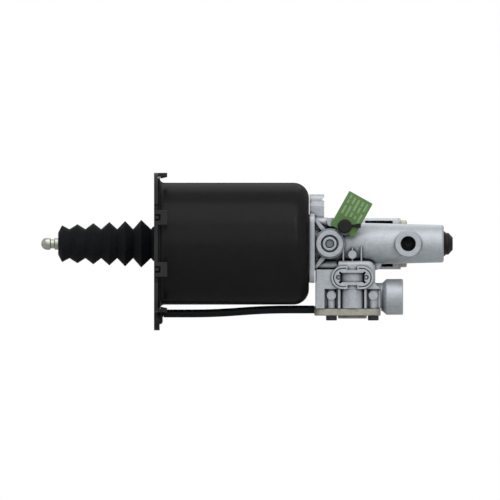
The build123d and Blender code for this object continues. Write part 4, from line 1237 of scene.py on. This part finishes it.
@dataclass
class Studio:
    """Floor, world, lamps and camera. Lengths in millimetres."""

    pixel: float = 0.9
    picture: int = 500
    axis_column: float = 154.0
    axis_row: float = 243.7
    camera_back: float = 1500.0
    camera_reach: float = 20000.0
    ambient: float = 0.05
    floor_height: float = -96.0
    floor_size: float = 12000.0
    floor_glow: float = 0.5
    lamps: tuple[Lamp, ...] = (
        Lamp("key", place=(20.0, -620.0, 1110.0), width=1500.0, height=1000.0, watts=12.2),
        Lamp("front", place=(60.0, -3000.0, 1050.0), width=1600.0, height=2000.0, watts=11.5),
        Lamp("strip", place=(440.0, -830.0, 470.0), width=120.0, height=1000.0, watts=2.1),
        Lamp("back", place=(100.0, 900.0, 900.0), width=900.0, height=900.0, watts=4.0),
    )

    def camera(self) -> None:
        """Sets a level camera without perspective, square to the rod axis."""
        data = bpy.data.cameras.new("camera")
        data.type = "ORTHO"
        data.ortho_scale = self.pixel * self.picture * MM
        data.clip_end = self.camera_reach * MM
        camera = bpy.data.objects.new("camera", data)
        across = (self.picture / 2 - self.axis_column) * self.pixel
        height = (self.axis_row - self.picture / 2) * self.pixel
        camera.location = Vector((across, -self.camera_back, height)) * MM
        camera.rotation_euler = (math.radians(90), 0, 0)
        bpy.context.scene.collection.objects.link(camera)
        bpy.context.scene.camera = camera

    def seen_directly(self, tree: bpy.types.NodeTree) -> bpy.types.NodeSocket:
        """Tells rays of the camera, metal and glass from those that light the servo.

        Args:
            tree: the node tree of the world or the floor.

        Returns:
            A socket that is 1 for the first and 0 for the others.
        """
        path = add_node(tree, "ShaderNodeLightPath").outputs
        through = add_node(
            tree,
            "ShaderNodeMath",
            {"operation": "MAXIMUM"},
            {0: path["Is Glossy Ray"], 1: path["Is Transmission Ray"]},
        ).outputs[0]
        return add_node(
            tree, "ShaderNodeMath", {"operation": "MAXIMUM"}, {0: path["Is Camera Ray"], 1: through}
        ).outputs[0]

    def world(self) -> None:
        """Makes a dim even world that the camera, metal and glass see as white."""
        world = bpy.data.worlds.new("world")
        bpy.context.scene.world = world
        world.use_nodes = True
        tree = world.node_tree
        tree.nodes.clear()
        seen = self.seen_directly(tree)
        dim = add_node(
            tree,
            "ShaderNodeBackground",
            inputs={"Color": linear("f4f6f8"), "Strength": self.ambient},
        ).outputs[0]
        white = add_node(
            tree, "ShaderNodeBackground", inputs={"Color": linear("ffffff"), "Strength": 1.0}
        ).outputs[0]
        both = add_node(tree, "ShaderNodeMixShader", inputs={0: seen, 1: dim, 2: white})
        add_node(tree, "ShaderNodeOutputWorld", inputs={"Surface": both.outputs[0]})

    def paper(self) -> bpy.types.Material:
        """Makes backdrop paper that looks pale far from the lamps too and keeps the shadow.

        Returns:
            The paper, ready for the floor.
        """
        paper = BACKDROP_PAPER.build()
        tree = paper.node_tree
        end = next(node for node in tree.nodes if node.type == "OUTPUT_MATERIAL").inputs["Surface"]
        glow = add_node(
            tree, "ShaderNodeEmission", inputs={"Color": linear("fbfbfb"), "Strength": 1.0}
        )
        share = add_node(
            tree,
            "ShaderNodeMath",
            {"operation": "MULTIPLY"},
            {0: self.seen_directly(tree), 1: self.floor_glow},
        ).outputs[0]
        both = add_node(
            tree,
            "ShaderNodeMixShader",
            inputs={0: share, 1: end.links[0].from_socket, 2: glow.outputs[0]},
        )
        tree.links.new(both.outputs[0], end)
        return paper

    def floor(self) -> None:
        """Lays a large pale floor below the servo."""
        shape = bmesh.new()
        bmesh.ops.create_grid(
            shape,
            x_segments=1,
            y_segments=1,
            size=self.floor_size / 2 * MM,
            matrix=Matrix.Translation((MIDDLE + UP * self.floor_height) * MM),
        )
        settle(shape, "floor", self.paper())

    def build(self) -> None:
        """Sets up the whole studio."""
        bpy.context.scene.view_settings.view_transform = "Standard"
        self.camera()
        self.world()
        self.floor()
        for lamp in self.lamps:
            lamp.hang()


# ---------------------------------------------------------------- the whole servo

RETURN_COIL = CoilSpring(
    name="return_coil",
    node="return_spring",
    joint="rod_slide",
    start=Vector((29.2, 0, 0)),
    axis=ALONG,
    length=106.5,
    radius=33.0,
    wire=3.2,
    turns=7,
    travel=50.0,
    anchor_at_start=False,
)
VALVE_COIL = CoilSpring(
    name="valve_coil",
    node="valve_spring",
    joint="valve_slide",
    start=Vector((178.5, 0, -64.1)),
    axis=UP,
    length=16.9,
    radius=6.9,
    wire=1.4,
    turns=5,
    travel=1.2,
    anchor_at_start=True,
)
# The near-black thread in the open hydraulic port is painted shade for the inside of the port.
HYDRAULIC_THREAD_IN_PAINTED_SHADE = PortThread(
    name="hydraulic_port_thread_in_painted_shade",
    mouth=Vector((228.8, -27.0, 0)),
    inward=ACROSS,
    wall_radius=6.84,
    crest=0.55,
    turns=8,
    floor_bore=2.6,
    finish=NOZZLE_BLACK_AND_PORT_SHADE,
)
AIR_THREAD = PortThread(
    name="air_port_thread",
    mouth=Vector((224.2, 0, -47.9)),
    inward=-ALONG,
    wall_radius=10.19,
    crest=0.6,
    turns=10,
    floor_bore=5.2,
    finish=TURNED_ALUMINIUM,
)


def main() -> None:
    """Builds the studio and every piece, and reports each one."""
    logging.basicConfig(level=logging.INFO, format="%(message)s")
    shop = FinishShop()
    Studio().build()
    ServoBody(NODE_FINISHES).dress(shop)
    makers: list[Maker] = [
        Bellows(),
        RETURN_COIL,
        VALVE_COIL,
        CoverScrews(),
        HYDRAULIC_THREAD_IN_PAINTED_SHADE,
        AIR_THREAD,
        TagPrint(),
        SilencerCartridge(centre=Vector((0, 43.0, 0))),
    ]
    for maker in makers:
        piece = maker.build(shop)
        LOG.info("piece %s has %d faces", piece.name, len(piece.data.polygons))


if __name__ == "__main__":
    main()
